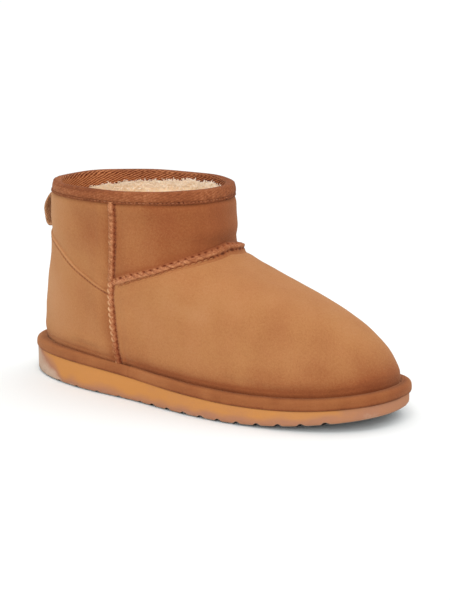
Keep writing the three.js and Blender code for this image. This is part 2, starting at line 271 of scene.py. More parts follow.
def skin_point(turn, share):
    """Outer face of the upper, without its creases."""
    x, y0 = oval(turn, section_at(share))
    narrowed = np.maximum(1 - share / WAIST_FADE_HEIGHT, 0) * WAIST_ON_UPPER
    y = y0 + waist(x, y0) * narrowed + swing(x) * (1 - share * SWING_LOST_UPWARDS)
    return np.stack(np.broadcast_arrays(x, y, height_at(x, share)), -1)


def unit(vectors):
    return vectors / np.linalg.norm(vectors, axis=-1, keepdims=True)


def skin_normal(turn, share):
    step = 0.004
    around = skin_point(turn + step, share) - skin_point(turn - step, share)
    upwards = skin_point(turn, np.minimum(share + step, 1)) - skin_point(turn, np.maximum(share - step, 0))
    normal = np.cross(around, upwards)
    edge = (share <= 0) | (share >= 1)
    normal[..., 2] = np.where(edge, 0, normal[..., 2])
    return unit(normal)


SPEED_STEP = 0.01


def speed(turn, share, turn_step, share_step):
    """Length along the suede for each unit of turn or of share, whichever the step is in."""
    after = skin_point(turn + turn_step, share + share_step)
    before = skin_point(turn - turn_step, share - share_step)
    return np.linalg.norm(after - before, axis=-1) / (2 * (turn_step + share_step))


def speed_around(turn, share):
    return speed(turn, share, SPEED_STEP, 0.0)


def speed_up(turn, share):
    return speed(turn, share, 0.0, SPEED_STEP)


def side_seam_turn(share, ahead=0.0):
    return turn_at(side_seam_along(share) * HALF + ahead, section_at(share))


def between_turns(turn, start=0.0):
    """Turn from start, from minus half a circle to half a circle."""
    return (turn - start + math.pi) % (2 * math.pi) - math.pi


def from_toe(turn):
    """Angle from the toe's direction in degrees, on either side."""
    return np.degrees(np.abs(between_turns(turn)))


def towards(turn, degrees):
    """1 where turn is at that angle, and 0 opposite to it."""
    return 0.5 + 0.5 * np.cos(turn - math.radians(degrees))


def from_side_seam(turn, share):
    """Distance ahead of the nearer side seam's middle, along the suede."""
    return (side_seam_turn(share) - np.abs(between_turns(turn))) * speed_around(turn, share)


def from_vamp_seam(turn, share):
    """Distance above the vamp seam's middle."""
    return (share - vamp_seam_height(from_toe(turn))) * speed_up(turn, share)


def from_spot(turn, share, spot):
    """Distances round and up the suede from a spot with a turn in degrees and a height."""
    turn0, share0 = math.radians(spot["turn"]), spot["height"]
    level = between_turns(turn, turn0) * float(speed_around(turn0, share0))
    return level, (share - share0) * float(speed_up(turn0, share0))


def bands(rows, height):
    """Sum of soft level bands, each at its height, with its reach and amount."""
    return sum(row["amount"] * bell(height - row["height"], row["reach"]) for row in rows)


# Creases and soft unevenness of the suede

WAVES = 14


def ripple(points, size, seed):
    """Smooth wavy noise, mostly between -1 and 1, with waves of about that size."""
    draw = np.random.default_rng(seed)
    total = 0
    for _ in range(WAVES):
        direction = unit(draw.normal(size=3))
        pace = 2 * math.pi / size * draw.uniform(0.7, 1.4)
        total = total + np.sin(points @ direction * pace + draw.uniform(0, 2 * math.pi))
    return total / math.sqrt(2 * WAVES)


# Folds placed one by one on the suede. turn is in degrees from the toe, negative on the outer side; lean is
# the fold's own direction in degrees above level; length and width are its half sizes and depth is outwards.
FOLDS = table(
    "turn height lean length width depth",
    (-52, 0.13, 4, 0.026, 0.0035, 0.0008),
    (-70, 0.12, -6, 0.018, 0.003, -0.0006),
    (-33, 0.2, 20, 0.016, 0.006, -0.0001),
    (-150, 0.61, 0, 0.04, 0.014, -0.0013),
    (-117, 0.12, -3, 0.013, 0.0016, -0.0006),
    (-120, 0.155, -4, 0.012, 0.0024, 0.0004),
    (-62, 0.75, 80, 0.02, 0.007, -0.0005),
    (-35, 0.82, 70, 0.022, 0.006, 0.0002),
    (10, 0.85, 85, 0.02, 0.008, -0.0003),
    (50, 0.16, 2, 0.024, 0.004, 0.0007),
    (75, 0.3, 25, 0.02, 0.006, -0.0005),
    (125, 0.14, 5, 0.013, 0.0025, -0.0006),
    (60, 0.8, 75, 0.02, 0.007, -0.0005),
    (0, 0.56, 90, 0.012, 0.009, -0.0004),
    (-160, 0.9, 80, 0.014, 0.006, -0.0004),
    (150, 0.85, 85, 0.014, 0.006, 0.0004),
    (-14, 0.075, 3, 0.016, 0.0012, -0.0005),
    (-22, 0.1, 6, 0.012, 0.0011, -0.0004),
    (-4, 0.105, -4, 0.01, 0.0011, -0.0004),
    (12, 0.08, 3, 0.014, 0.0012, -0.0005),
    (-40, 0.078, 5, 0.012, 0.0011, -0.0004),
    (-37.5, 0.9, 6, 0.004, 0.0005, -0.00025),
    (-34.5, 0.8, 4, 0.0035, 0.0005, -0.0003),
    (-11, 0.83, -3, 0.003, 0.0005, -0.0002),
)


def folds(turn, share):
    """How far the listed folds stand out."""
    out = 0
    for fold in FOLDS:
        level, rise = from_spot(turn, share, fold)
        lean = math.radians(fold["lean"])
        along = level * math.cos(lean) + rise * math.sin(lean)
        across = rise * math.cos(lean) - level * math.sin(lean)
        out = out + fold["depth"] * bell(across, fold["width"]) * bell(along, fold["length"], 4)
    return out


# Fine lines in the suede over the rand, by height above the upper's foot
FOOT_LINES = table(
    "height reach amount",
    (0.0068, 0.002, -0.0002), (0.0088, 0.0007, 0.0002), (0.0101, 0.0008, -0.0002),
)


def beside_seam(distance):
    """The suede dips at a seam and swells next to it."""
    return 0.0006 * bell(np.abs(distance) - 0.011, 0.006) - 0.0004 * bell(distance, 0.004)


def relief(turn, share):
    """How far the suede stands off the plain form."""
    points = skin_point(turn, share)
    ahead = from_side_seam(turn, share)
    above_vamp = from_vamp_seam(turn, share)
    above_foot = share * wall_height(points[..., 0])
    below_rim = RIM_HEIGHT - points[..., 2]
    out = 0.00012 * ripple(points, 0.055, 11) + 0.0001 * ripple(points, 0.022, 12) + folds(turn, share)
    out += beside_seam(ahead) + smooth(-0.002, 0.004, ahead) * beside_seam(above_vamp)
    out += 0.0009 * smooth(95, 15, from_toe(turn)) * smooth(0.002, 0.02, -above_vamp)
    out += 0.0005 * smooth(80, 35, from_toe(turn)) * smooth(0.002, 0.01, above_vamp)
    out *= smooth(0.005, 0.014, above_foot) * smooth(0.004, 0.011, below_rim)
    over_tape = 0.0007 * bell(below_rim - 0.0095, 0.0045) * smooth(0.004, 0.008, below_rim)
    over_rand = 0.0008 * (1 - smooth(60, 15, from_toe(turn))) * bell(above_foot - 0.015, 0.005)
    return out + over_tape + (over_rand + bands(FOOT_LINES, above_foot)) * smooth(0.0, 0.004, above_foot)


def plain_skin(turn, share, off):
    """Point at a distance off the plain form; at its foot and rim it keeps their height."""
    turn, share = np.broadcast_arrays(np.asarray(turn, float), np.asarray(share, float))
    point = skin_point(turn, share) + skin_normal(turn, share) * np.asarray(off)[..., None]
    edge = (share <= 0) | (share >= 1)
    point[..., 2] = np.where(edge, height_at(point[..., 0], share), point[..., 2])
    return point


def skin(turn, share, off):
    """Point at a distance off the creased suede."""
    return plain_skin(turn, share, off + relief(turn, share))


# Where the solids lie in the frame: the form is moved by the same amount as they were.
SOLID_TURNS = (2 * np.arange(SOLID_COLUMNS) + 1) * math.pi / SOLID_COLUMNS
plain_x, plain_y = sole_outline(SOLID_TURNS, 0)
sole_low, sole_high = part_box("sole")
SHIFT = np.array([
    (sole_low.x + sole_high.x - plain_x.min() - plain_x.max()) / 2,
    (sole_low.y + sole_high.y - plain_y.min() - plain_y.max()) / 2,
    0,
])


# Making meshes


def signed_volume(points, faces):
    corners = points[faces]
    fan = np.cross(corners[:, 1:-1], corners[:, 2:])
    return (corners[:, :1] * fan).sum() / 6


def make_piece(name, points, faces, material, slot, replaced, tone, uv=None, ridge=None):
    """A closed mesh that rides on the boot. faces are arrays, one for each number of corners; tone and ridge
    are numbers for each point, and uv a pair for each corner."""
    points = np.asarray(points, float).reshape(-1, 3)
    faces = faces if isinstance(faces, list) else [faces]
    if sum(signed_volume(points, group) for group in faces) < 0:
        faces = [group[:, ::-1] for group in faces]
        uv = None if uv is None else uv[:, ::-1]
    mesh = bpy.data.meshes.new(name)
    mesh.from_pydata((points + SHIFT).tolist(), [], [face for group in faces for face in group.tolist()])
    mesh.polygons.foreach_set("use_smooth", [True] * len(mesh.polygons))
    for label, values in (("tone", tone), ("ridge", ridge)):
        if values is not None:
            layer = mesh.attributes.new(label, "FLOAT", "POINT")
            layer.data.foreach_set("value", np.ravel(values).astype(np.float32))
    if uv is not None:
        mesh.uv_layers.new(name="along_across").data.foreach_set("uv", np.ravel(uv).astype(np.float32))
    mesh.update()
    mesh.materials.append(material)
    piece = bpy.data.objects.new(name, mesh)
    bpy.context.scene.collection.objects.link(piece)
    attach(piece, "root")
    if replaced:
        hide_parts(*replaced)


def make_ring(name, points, *rest):
    """A piece whose grid of points closes both ways."""
    make_piece(name, points, quads(*points.shape[:2], True, True), *rest)


def make_strip(name, top, under, material, slot, replaced, tone, ridge):
    """A closed strip from a grid of points on top, with its tone and ridge, and another grid under it."""
    points = np.concatenate([top, under], 1)
    rows, columns = points.shape[:2]
    far_end = end_strips(columns, (rows - 1) * columns)[:, ::-1]
    faces = np.concatenate([quads(rows, columns, False, True), end_strips(columns, 0), far_end])
    tone, ridge = (np.concatenate([values, 0 * values], 1) for values in (tone, ridge))
    make_piece(name, points, faces, material, slot, replaced, tone, None, ridge)


def quads(rows, columns, wrap_rows, wrap_columns):
    """Faces of a grid of points, row by row."""
    i = np.arange(rows if wrap_rows else rows - 1)[:, None]
    j = np.arange(columns if wrap_columns else columns - 1)[None, :]
    here, after = i * columns, (i + 1) % rows * columns
    beside = (j + 1) % columns
    return np.stack([here + j, here + beside, after + beside, after + j], -1).reshape(-1, 4)


def end_strips(columns, first):
    """Faces that close a ring of points, from one half to the other."""
    j = np.arange(columns // 2 - 1)
    k = columns - 1 - j
    return np.stack([first + j, first + k, first + k - 1, first + j + 1], -1)


def capped(ring, ring_start, lines_start, segments, height_of, above):
    """Closes an outline with strips across it and a face at each end; gives the new points and faces."""
    columns = len(ring)
    half = columns // 2
    j = np.arange(1, half - 1)
    k = np.linspace(0, 1, segments + 1)[1:-1][:, None, None]
    lines = ring[j] * (1 - k) + ring[columns - 1 - j] * k
    lines[..., 2] = height_of(lines[..., 0], lines[..., 1])
    inner = lines_start + np.arange(segments - 1)[:, None] * len(j) + np.arange(len(j))
    grid = np.concatenate([ring_start + j[None], inner, ring_start + columns - 1 - j[None]])
    strips = np.stack([grid[:-1, :-1], grid[1:, :-1], grid[1:, 1:], grid[:-1, 1:]], -1).reshape(-1, 4)
    near = np.concatenate([[ring_start + columns - 1, ring_start], grid[:, 0]])[None]
    far = np.concatenate([[ring_start + half - 1, ring_start + half], grid[::-1, -1]])[None]
    ends = np.concatenate([near[:, ::-1], far[:, ::-1]])
    if above:
        strips, ends = strips[:, ::-1], ends[:, ::-1]
    return lines.reshape(-1, 3), [strips, ends]


def with_caps(rings, under, over_segments, over_height):
    """Joins rings of points to the cap under them and to one over them; gives all points and faces."""
    count, columns = rings.shape[:2]
    size = count * columns
    over = capped(rings[-1], size - columns, size + len(under[0]), over_segments, over_height, True)
    points = np.concatenate([rings.reshape(-1, 3), under[0], over[0]])
    return points, [quads(count, columns, False, True)] + under[1] + over[1]


def band_uv(points):
    """Lengths along and across a grid that closes both ways, for each face's corners."""
    lengths = []
    for axis in (0, 1):
        steps = np.linalg.norm(np.roll(points, -1, axis) - points, axis=-1).mean(1 - axis)
        lengths.append(np.concatenate([[0], np.cumsum(steps)]))
    along, across = lengths
    i, j = (place.ravel() for place in np.indices(points.shape[:2]))
    u = np.stack([along[i], along[i], along[i + 1], along[i + 1]], -1)
    v = np.stack([across[j], across[j + 1], across[j + 1], across[j]], -1)
    return np.stack([u, v], -1)


def tubes(paths, normals, radii, sides):
    """Points, sides and ends of many closed tubes: paths is (tube, step, xyz), radii is (tube, step)."""
    count, steps = paths.shape[:2]
    tangents = unit(np.gradient(paths, axis=1))
    aside = unit(np.cross(tangents, normals))
    above = np.cross(aside, tangents)
    angle = (np.arange(sides) * 2 * math.pi / sides)[:, None]
    ring = aside[:, :, None] * np.cos(angle) + above[:, :, None] * np.sin(angle)
    points = paths[:, :, None] + ring * radii[..., None, None]
    start = np.arange(count)[:, None, None] * steps * sides
    round_faces = (quads(steps, sides, False, True)[None] + start).reshape(-1, 4)
    ends = np.stack([np.arange(sides)[::-1], (steps - 1) * sides + np.arange(sides)])
    return points.reshape(-1, 3), round_faces, (ends[None] + start).reshape(-1, sides)


def from_stitch(along, pitch, phase=0.0):
    """Distance from the nearest stitch of a row, and that stitch's number."""
    place = along / pitch - phase + 0.5
    return (place % 1 - 0.5) * pitch, np.floor(place).astype(int)


def dashes(along, values, pitch, inset, steps):
    """Values along the threads of a row, one for each pitch, and how high each thread arches."""
    starts = np.arange(1, int(along[-1] / pitch))[:, None]
    at = (starts + np.linspace(inset, 1 - inset, steps)) * pitch
    return np.interp(at, along, values), THREAD_ARCH * np.sin(math.pi * np.linspace(0, 1, steps))


def seam_threads(name, paths, normals, material, radius, paleness=0.0):
    """Threads of a seam, joined."""
    count, steps = paths.shape[:2]
    draw = np.random.default_rng(len(name))
    radii = radius * (1 - 0.35 * np.linspace(-1, 1, steps) ** 4) * draw.uniform(0.6, 1.15, (count, 1))
    points, sides, ends = tubes(paths, normals, radii, THREAD_SIDES)
    tone = np.clip(draw.uniform(-0.8, 0.5, count) + paleness, -1.5, 1.5)
    make_piece(name, points, [sides, ends], material, "thread", (), np.repeat(tone, steps * THREAD_SIDES))


# Suede pieces

UPPER_COLUMNS = 420
UPPER_ROWS_OUTSIDE = 140
UPPER_ROWS_INSIDE = 18
COUNTER_COLUMNS = 320


def even_turns(count):
    return (np.arange(count) + 0.5) * 2 * math.pi / count


def even_shares(count):
    """Shares of the height whose steps are alike in length, measured over the instep and the side."""
    fine = np.linspace(0, 1, 400)
    pace = speed_up(0.0, fine) + speed_up(math.pi / 2, fine)
    run = np.concatenate([[0], np.cumsum((pace[1:] + pace[:-1]) / 2)])
    return np.interp(np.linspace(0, run[-1], count), run, fine)


def run_length(points):
    return np.concatenate([[0], np.cumsum(np.linalg.norm(np.diff(points, axis=0), axis=-1))])


# Soft patches, partly where the nap is darker or lighter and partly painted light and shade: painted light
# on the outer back of the heel, painted shade low on the vamp over the rand and on the shaft. turn is in
# degrees from the toe, negative on the outer side, and wide and high are half sizes along the suede.
NAP_LIGHT_SHADE_PATCHES = table(
    "turn height wide high tone",
    (-28, 0.1, 0.045, 0.012, -0.45),
    (0, 0.12, 0.03, 0.014, -0.25),
    (-90, 0.3, 0.02, 0.02, 0.08),
    (-140, 0.36, 0.016, 0.024, 0.5),
    (-104, 0.25, 0.014, 0.03, -0.25),
    (-136, 0.83, 0.016, 0.022, 0.4),
    (-92, 0.8, 0.014, 0.022, -0.5),
    (-12, 0.5, 0.02, 0.016, 0.1),
    (-38.5, 0.19, 0.011, 0.006, -0.15),
    (-19, 0.2, 0.006, 0.011, -0.12),
    (-65, 0.17, 0.014, 0.006, -0.15),
    (-95, 0.065, 0.022, 0.005, -0.45),
    (-78, 0.06, 0.02, 0.005, -0.35),
    (-38, 0.33, 0.03, 0.015, -0.12),
    (-66, 0.86, 0.008, 0.016, 0.15),
    (-50, 0.86, 0.014, 0.016, -0.2),
    (5, 0.85, 0.012, 0.016, -0.25),
    (-70, 0.42, 0.012, 0.009, 0.2),
    (30, 0.1, 0.045, 0.012, -0.35),
    (60, 0.35, 0.03, 0.02, 0.1),
    (125, 0.3, 0.015, 0.02, -0.15),
    (160, 0.4, 0.015, 0.02, 0.2),
)
# Painted shade on the shaft, deeper towards its front.
SHAFT_SHADE = -0.5
SHAFT_FRONT_SHADE = -0.3
# Painted shade in bands over the rand, darkest along the fine lines in the suede there.
FOOT_SHADE_BANDS = table(
    "height reach amount",
    (0.0072, 0.001, -0.3), (0.0101, 0.0009, -0.2), (0.007, 0.007, -0.55),
)


def nap_light_and_shade(turn, share):
    """Tone of the suede: random nap with painted light and shade, and painted shade on the shaft, over the
    rand, under the binding and beside the seams.
    """
    ahead = from_side_seam(turn, share)
    above_vamp = from_vamp_seam(turn, share)
    points = skin_point(turn, share)
    front = smooth(-0.001, 0.001, ahead)
    shaft = front * smooth(-0.001, 0.001, above_vamp)
    tone = 0.04 * ripple(points, 0.06, 31) + 0.06 * ripple(points, 0.025, 32)
    for patch in NAP_LIGHT_SHADE_PATCHES:
        level, rise = from_spot(turn, share, patch)
        tone += patch["tone"] * bell(level, patch["wide"]) * bell(rise, patch["high"])
    tone += shaft * (SHAFT_SHADE + SHAFT_FRONT_SHADE * smooth(70, 15, from_toe(turn)))
    tone += bands(FOOT_SHADE_BANDS, share * wall_height(points[..., 0]))
    # Painted shadow under the binding's lower edge.
    tone -= 0.3 * bell(RIM_HEIGHT - points[..., 2] - BINDING_OUTSIDE, 0.0012)
    # Painted shade just behind the side seam and just above the vamp seam.
    tone -= 0.3 * bell(ahead + 0.0035, 0.003) + 0.3 * front * bell(above_vamp - 0.003, 0.003)
    return np.clip(tone, -2, 1)


def upper(material):
    turns = even_turns(UPPER_COLUMNS)[:, None]
    up = even_shares(UPPER_ROWS_OUTSIDE)[None, :]
    down = even_shares(UPPER_ROWS_INSIDE)[None, ::-1]
    inner = plain_skin(turns, down, -WALL)
    points = np.concatenate([skin(turns, up, 0.0), inner], 1)
    tone = np.concatenate([nap_light_and_shade(turns, up), np.zeros(inner.shape[:2])], 1)
    make_ring("upper_suede", points, material, "suede", ["upper"], tone)


# Seams. A section gives a seam's height off the suede, from place to place across it.
SIDE_SEAM_SECTION = table(
    "across off",
    (-0.0034, -0.0002), (-0.0030, 0.0005), (-0.0025, 0.0011), (-0.0018, 0.0015), (-0.0009, 0.0016),
    (0.0, 0.0015), (0.0006, 0.0011), (0.0010, 0.0006), (0.0014, 0.0004), (0.0018, 0.0004),
    (0.0022, 0.0005), (0.0028, 0.0006), (0.0036, 0.0005), (0.0046, 0.0003), (0.0056, 0.0001),
    (0.0062, -0.0002),
)
VAMP_SEAM_SECTION = table(
    "across off",
    (-0.0052, -0.0002), (-0.0042, 0.0001), (-0.0032, 0.0004), (-0.0026, 0.0005), (-0.0022, 0.0002),
    (-0.0019, 0.0003), (-0.0013, 0.0010), (-0.0005, 0.0016), (0.0003, 0.0016), (0.0010, 0.0012),
    (0.0015, 0.0009), (0.0021, 0.0008), (0.0027, 0.0008), (0.0031, 0.0005), (0.0035, 0.0001),
    (0.0044, 0.0), (0.0052, -0.0002),
)
SIDE_HOLE = 0.0014
VAMP_HOLE = 0.0022
VAMP_NOTCH = -0.0021
# In the holes table, dark is how much painted shade fills each hole, fading how much less of it there is at
# a seam's bold middle, and shadow is the painted shadow along the row.
HOLE_COLUMNS = "across phase wide high dark fading shadow"

# places are runs of (from, to, count) across the seam, ridge is the middle of its ridge, pit the depth of
# its holes, knob the height of its swelling over the instep, bold how much bolder it is at its middle, low
# how much darker near the rand, and pale how much paler than the suede.
SIDE_SEAM = {
    "pitch": 0.0037, "section": curve(SIDE_SEAM_SECTION, "across", "off"),
    "places": [(-0.0034, -0.0021, 5), (-0.0018, 0.0024, 19), (0.0030, 0.0062, 6)],
    "holes": table(HOLE_COLUMNS, (SIDE_HOLE, 0.0, 0.0009, 0.0008, 3.2, 1.2, 1.2)),
    "ridge": -0.0009, "pit": 0.0004, "knob": 0.0, "bold": 0.0, "low": 0.7, "pale": 0.1,
}
VAMP_SEAM = {
    "pitch": 0.0043, "section": curve(VAMP_SEAM_SECTION, "across", "off"),
    "places": [(-0.0052, -0.0029, 5), (-0.0026, 0.0027, 22), (0.0032, 0.0052, 3)],
    "holes": table(
        HOLE_COLUMNS,
        (VAMP_HOLE, 0.0, 0.0008, 0.0006, 3.2, 1.2, 0.0), (VAMP_NOTCH, 0.45, 0.0012, 0.0006, 2.6, 0.0, 0.4),
    ),
    "ridge": 0.0006, "pit": 0.0007, "knob": 0.0026, "bold": 1.0, "low": 0.0, "pale": 0.3,
}
SEAM_STEP = 0.0003
SEAM_ROOT = -0.0006
SEAM_SWELLS = 60
LINE_STEPS = 500
KNOB_AT = 0.59
KNOB_REACH = 0.02
HOLES_DRAWN = 400
THREAD_SIDES = 6
THREAD_STEPS = 8
THREAD_LOOSE = 0.00012
THREAD_ARCH = 0.0002
THREAD_SUNK = 0.0006
THREAD_RADIUS = 0.00062
VAMP_THREAD_RADIUS = 0.0003


def side_seam_line(side):
    """Gives a function from distances up the side seam and ahead of it to points, and the seam's length."""
    foot = float(share_of(RAND_HEIGHT * 0.8, float(side_seam_along(0)) * HALF))
    head = 1 - float(share_of(BINDING_OUTSIDE - 0.001))
    shares = np.linspace(foot, head, 300)
    lengths = run_length(skin_point(side * side_seam_turn(shares), shares))

    def place(up, ahead, off):
        share = np.interp(up, lengths, shares)
        turn = side_seam_turn(share)
        turn = side * (turn - ahead / speed_around(turn, share))
        return skin(turn, share, off), turn, share

    return place, lengths[-1]


def vamp_seam_line():
    """Gives a function from distances round the vamp seam and above it to points, and the seam's length."""
    end = math.pi / 2
    for _ in range(6):
        end = float(side_seam_turn(vamp_seam_height(math.degrees(end)), 0.0002))
    turns = np.linspace(-end, end, LINE_STEPS)
    lengths = run_length(skin_point(turns, vamp_seam_height(np.degrees(np.abs(turns)))))

    def place(along, above, off):
        turn = np.interp(along, lengths, turns)
        middle = vamp_seam_height(np.degrees(np.abs(turn)))
        share = middle + above / speed_up(turn, middle)
        return skin(turn, share, off), turn, share

    return place, lengths[-1]


def seam(name, node, line, style, material, seed):
    """A raised seam with the holes of its stitches, darkened with painted shade."""
    place, length = line
    along = np.linspace(0, length, int(length / SEAM_STEP))[:, None]
    across = np.concatenate([np.linspace(*places) for places in style["places"]])[None, :]
    swells = np.random.default_rng(seed).uniform(-1, 1, SEAM_SWELLS)
    swell = np.interp(along, np.linspace(0, length, SEAM_SWELLS), swells)
    off = style["section"](across) * (1 + 0.1 * swell * bell(across, 0.003))
    off -= 0.0001 * bell(across, 0.0024) * (1 + np.cos(2 * math.pi * along / style["pitch"]))
    off += style["knob"] * bell(across - 0.0001, 0.0033, 4) * bell(along - length * KNOB_AT, KNOB_REACH)
    bold = style["bold"] * bell(along - length / 2, 0.045)
    tone = 0.3 * swell * bell(across, 0.002) - 0.5 * bold
    sizes = np.random.default_rng(seed + 7).uniform(0.4, 1.3, HOLES_DRAWN)
    for hole in style["holes"]:
        away, number = from_stitch(along, style["pitch"], hole["phase"])
        size = sizes[number % HOLES_DRAWN]
        trough = bell(across - hole["across"], hole["high"])
        pit = bell(away, hole["wide"] * size) * trough
        off -= style["pit"] * pit
        dark = hole["dark"] - hole["fading"] * bold
        # Painted shade in the holes and a painted shadow along their row.
        tone -= dark * pit * size + hole["shadow"] * trough * (1 + bold)
    along, across = along + 0 * across, across + 0 * along
    top, turn, share = place(along, across, off)
    root = place(along, across[:, ::-1], SEAM_ROOT)[0]
    on_ridge = bell(across - style["ridge"], 0.0026, 4)
    tone += nap_light_and_shade(turn, share) * (1 - 0.6 * on_ridge)
    speckle = 0.3 * ripple(top, 0.0022, seed + 20) + 0.45 * ripple(top, 0.0011, seed + 21)
    low = style["low"] * smooth(0.036, 0.026, top[..., 2])
    tone += on_ridge * (speckle - low + style["pale"])
    make_strip(name, top, root, material, "suede", [node], np.clip(tone, -3, 1.3), on_ridge)


def stitches(line, style, start, end, lift):
    """Paths and normals of a seam's threads; start and end of each are (share of the pitch, across)."""
    place, length = line
    count = int(length / style["pitch"]) - 1
    loose = np.random.default_rng(count).normal(scale=THREAD_LOOSE, size=(count, 2, 1))
    k = np.linspace(0, 1, THREAD_STEPS)[None, :]
    along = style["pitch"] * (np.arange(count)[:, None] + start[0] + (end[0] - start[0]) * k)
    across = start[1] + (end[1] - start[1]) * k + loose[:, 0] * (1 - k) + loose[:, 1] * k
    off = style["section"](across) - THREAD_SUNK + (THREAD_SUNK + lift) * np.sin(math.pi * k) ** 0.5
    path = place(along, across, off)[0]
    return path, unit(path - place(along, across, off - 0.001)[0])


def seams(suede, pale_thread, thread):
    for side, node in ((-1, "side_seam_lateral"), (1, "side_seam_medial")):
        line = side_seam_line(side)
        seam(node + "_ridge", node, line, SIDE_SEAM, suede, 2 + side)
        paths, normals = stitches(line, SIDE_SEAM, (0.1, -0.0007), (0.75, -0.0024), 0.0002)
        up = paths[..., 2].mean(1)
        paleness = 1.7 * smooth(0.078, 0.066, up) - 1.9 * smooth(0.048, 0.03, up) - 0.9
        seam_threads(node + "_thread", paths, normals, pale_thread, THREAD_RADIUS, paleness)
    line = vamp_seam_line()
    seam("vamp_seam_ridge", "vamp_seam", line, VAMP_SEAM, suede, 3)
    paths, normals = stitches(line, VAMP_SEAM, (0.05, VAMP_HOLE - 0.0005), (0.5, VAMP_NOTCH + 0.0006), 0.0)
    paleness = 0.2 - 0.5 * smooth(-0.035, -0.005, paths[..., 0].mean(1))
    seam_threads("vamp_seam_thread", paths, normals, thread, VAMP_THREAD_RADIUS, paleness)


# Heel counter

COUNTER_EDGE_ROUNDING = 0.0012
COUNTER_EDGE_ZONE = 0.0055
COUNTER_FOOT_ZONE = 0.016
COUNTER_EDGE_ROWS = 14
COUNTER_MIDDLE_ROWS = 18
COUNTER_FOOT_ROWS = 24
COUNTER_STITCH_DOWN = 0.0021
COUNTER_STITCH_PITCH = 0.0026
COUNTER_THREAD_RADIUS = 0.00022


def counter_place(aside, below, off):
    """Point of the heel counter at a distance below its upper edge."""
    middle = counter_edge(np.abs(aside))
    turn0 = math.pi + aside * (math.pi - side_seam_turn(middle))
    share = np.maximum(middle - below / speed_up(turn0, middle), 0)
    turn = math.pi + aside * (math.pi - side_seam_turn(share, -0.0008))
    return skin(turn, share, off), turn, share


def heel_counter(suede, thread):
    asides = np.linspace(-1, 1, COUNTER_COLUMNS)[:, None]
    near = np.linspace(0.0015, COUNTER_EDGE_ZONE, COUNTER_EDGE_ROWS)
    near = np.concatenate([np.linspace(0, COUNTER_EDGE_ROUNDING, COUNTER_EDGE_ROWS // 2), near])
    middle = counter_edge(np.abs(asides))
    drop = middle * speed_up(math.pi + asides * (math.pi - side_seam_turn(middle)), middle)
    between = 1 - np.linspace(0, 1, COUNTER_MIDDLE_ROWS)[None, 1:-1]
    far = COUNTER_FOOT_ZONE + (drop - near[-1] - COUNTER_FOOT_ZONE) * between
    low = np.linspace(COUNTER_FOOT_ZONE, 0, COUNTER_FOOT_ROWS)[None, :]
    below = np.concatenate([near[None, :] + 0 * drop, drop - far, drop - low], 1)
    rounded = np.sqrt(1 - np.clip(1 - below / COUNTER_EDGE_ROUNDING, 0, 1) ** 2)
    along = run_length(counter_place(asides[:, 0], 0.0, 0.0)[0])
    away = from_stitch(along[:, None], COUNTER_STITCH_PITCH)[0]
    pits = bell(away, 0.0005) * bell(below - COUNTER_STITCH_DOWN, 0.0004)
    trough = bell(below - COUNTER_STITCH_DOWN, 0.0007)
    full = GAP + COUNTER_THICKNESS
    outer, turn, share = counter_place(asides, below, full * rounded - 0.0002 * trough - 0.0006 * pits)
    under = counter_place(asides, below[:, ::-1], -0.0004)[0]
    # A painted highlight along the upper edge, and painted shade in the stitch trough and holes.
    tone = nap_light_and_shade(turn, share) + 0.4 * bell(below - 0.0004, 0.0004) - 0.2 * trough - 2.2 * pits
    tone = np.clip(tone, -3, 1)
    make_strip("heel_counter_suede", outer, under, suede, "suede", ["heel_counter"], tone, 0 * tone)

    at, arch = dashes(along, asides[:, 0], COUNTER_STITCH_PITCH, 0.08, 6)
    path = counter_place(at, COUNTER_STITCH_DOWN, full - 0.00035 + arch)[0]
    inside = counter_place(at, COUNTER_STITCH_DOWN, full - 0.0014 + arch)[0]
    seam_threads("heel_counter_thread", path, unit(path - inside), thread, COUNTER_THREAD_RADIUS)


# Rand

RAND_COLUMNS = 800
RAND_SECTION = table(
    "step out up",
    (0, 0, 0), (1, 0, 0.6), (2, 0.0, 0.88), (3, 0.03, 0.96), (4, 0.14, 1.0), (5, 0.33, 1.0), (6, 0.54, 0.97),
    (7, 0.73, 0.91), (8, 0.88, 0.78), (9, 0.97, 0.58), (10, 1.0, 0.34), (11, 0.995, 0.12), (12, 0.94, 0.0),
)
RAND_ROWS = 30
RAND_JOINT = math.radians(-104)
RAND_JOINT_WIDTH = 0.0004
RAND_HUGGING = 0.00025


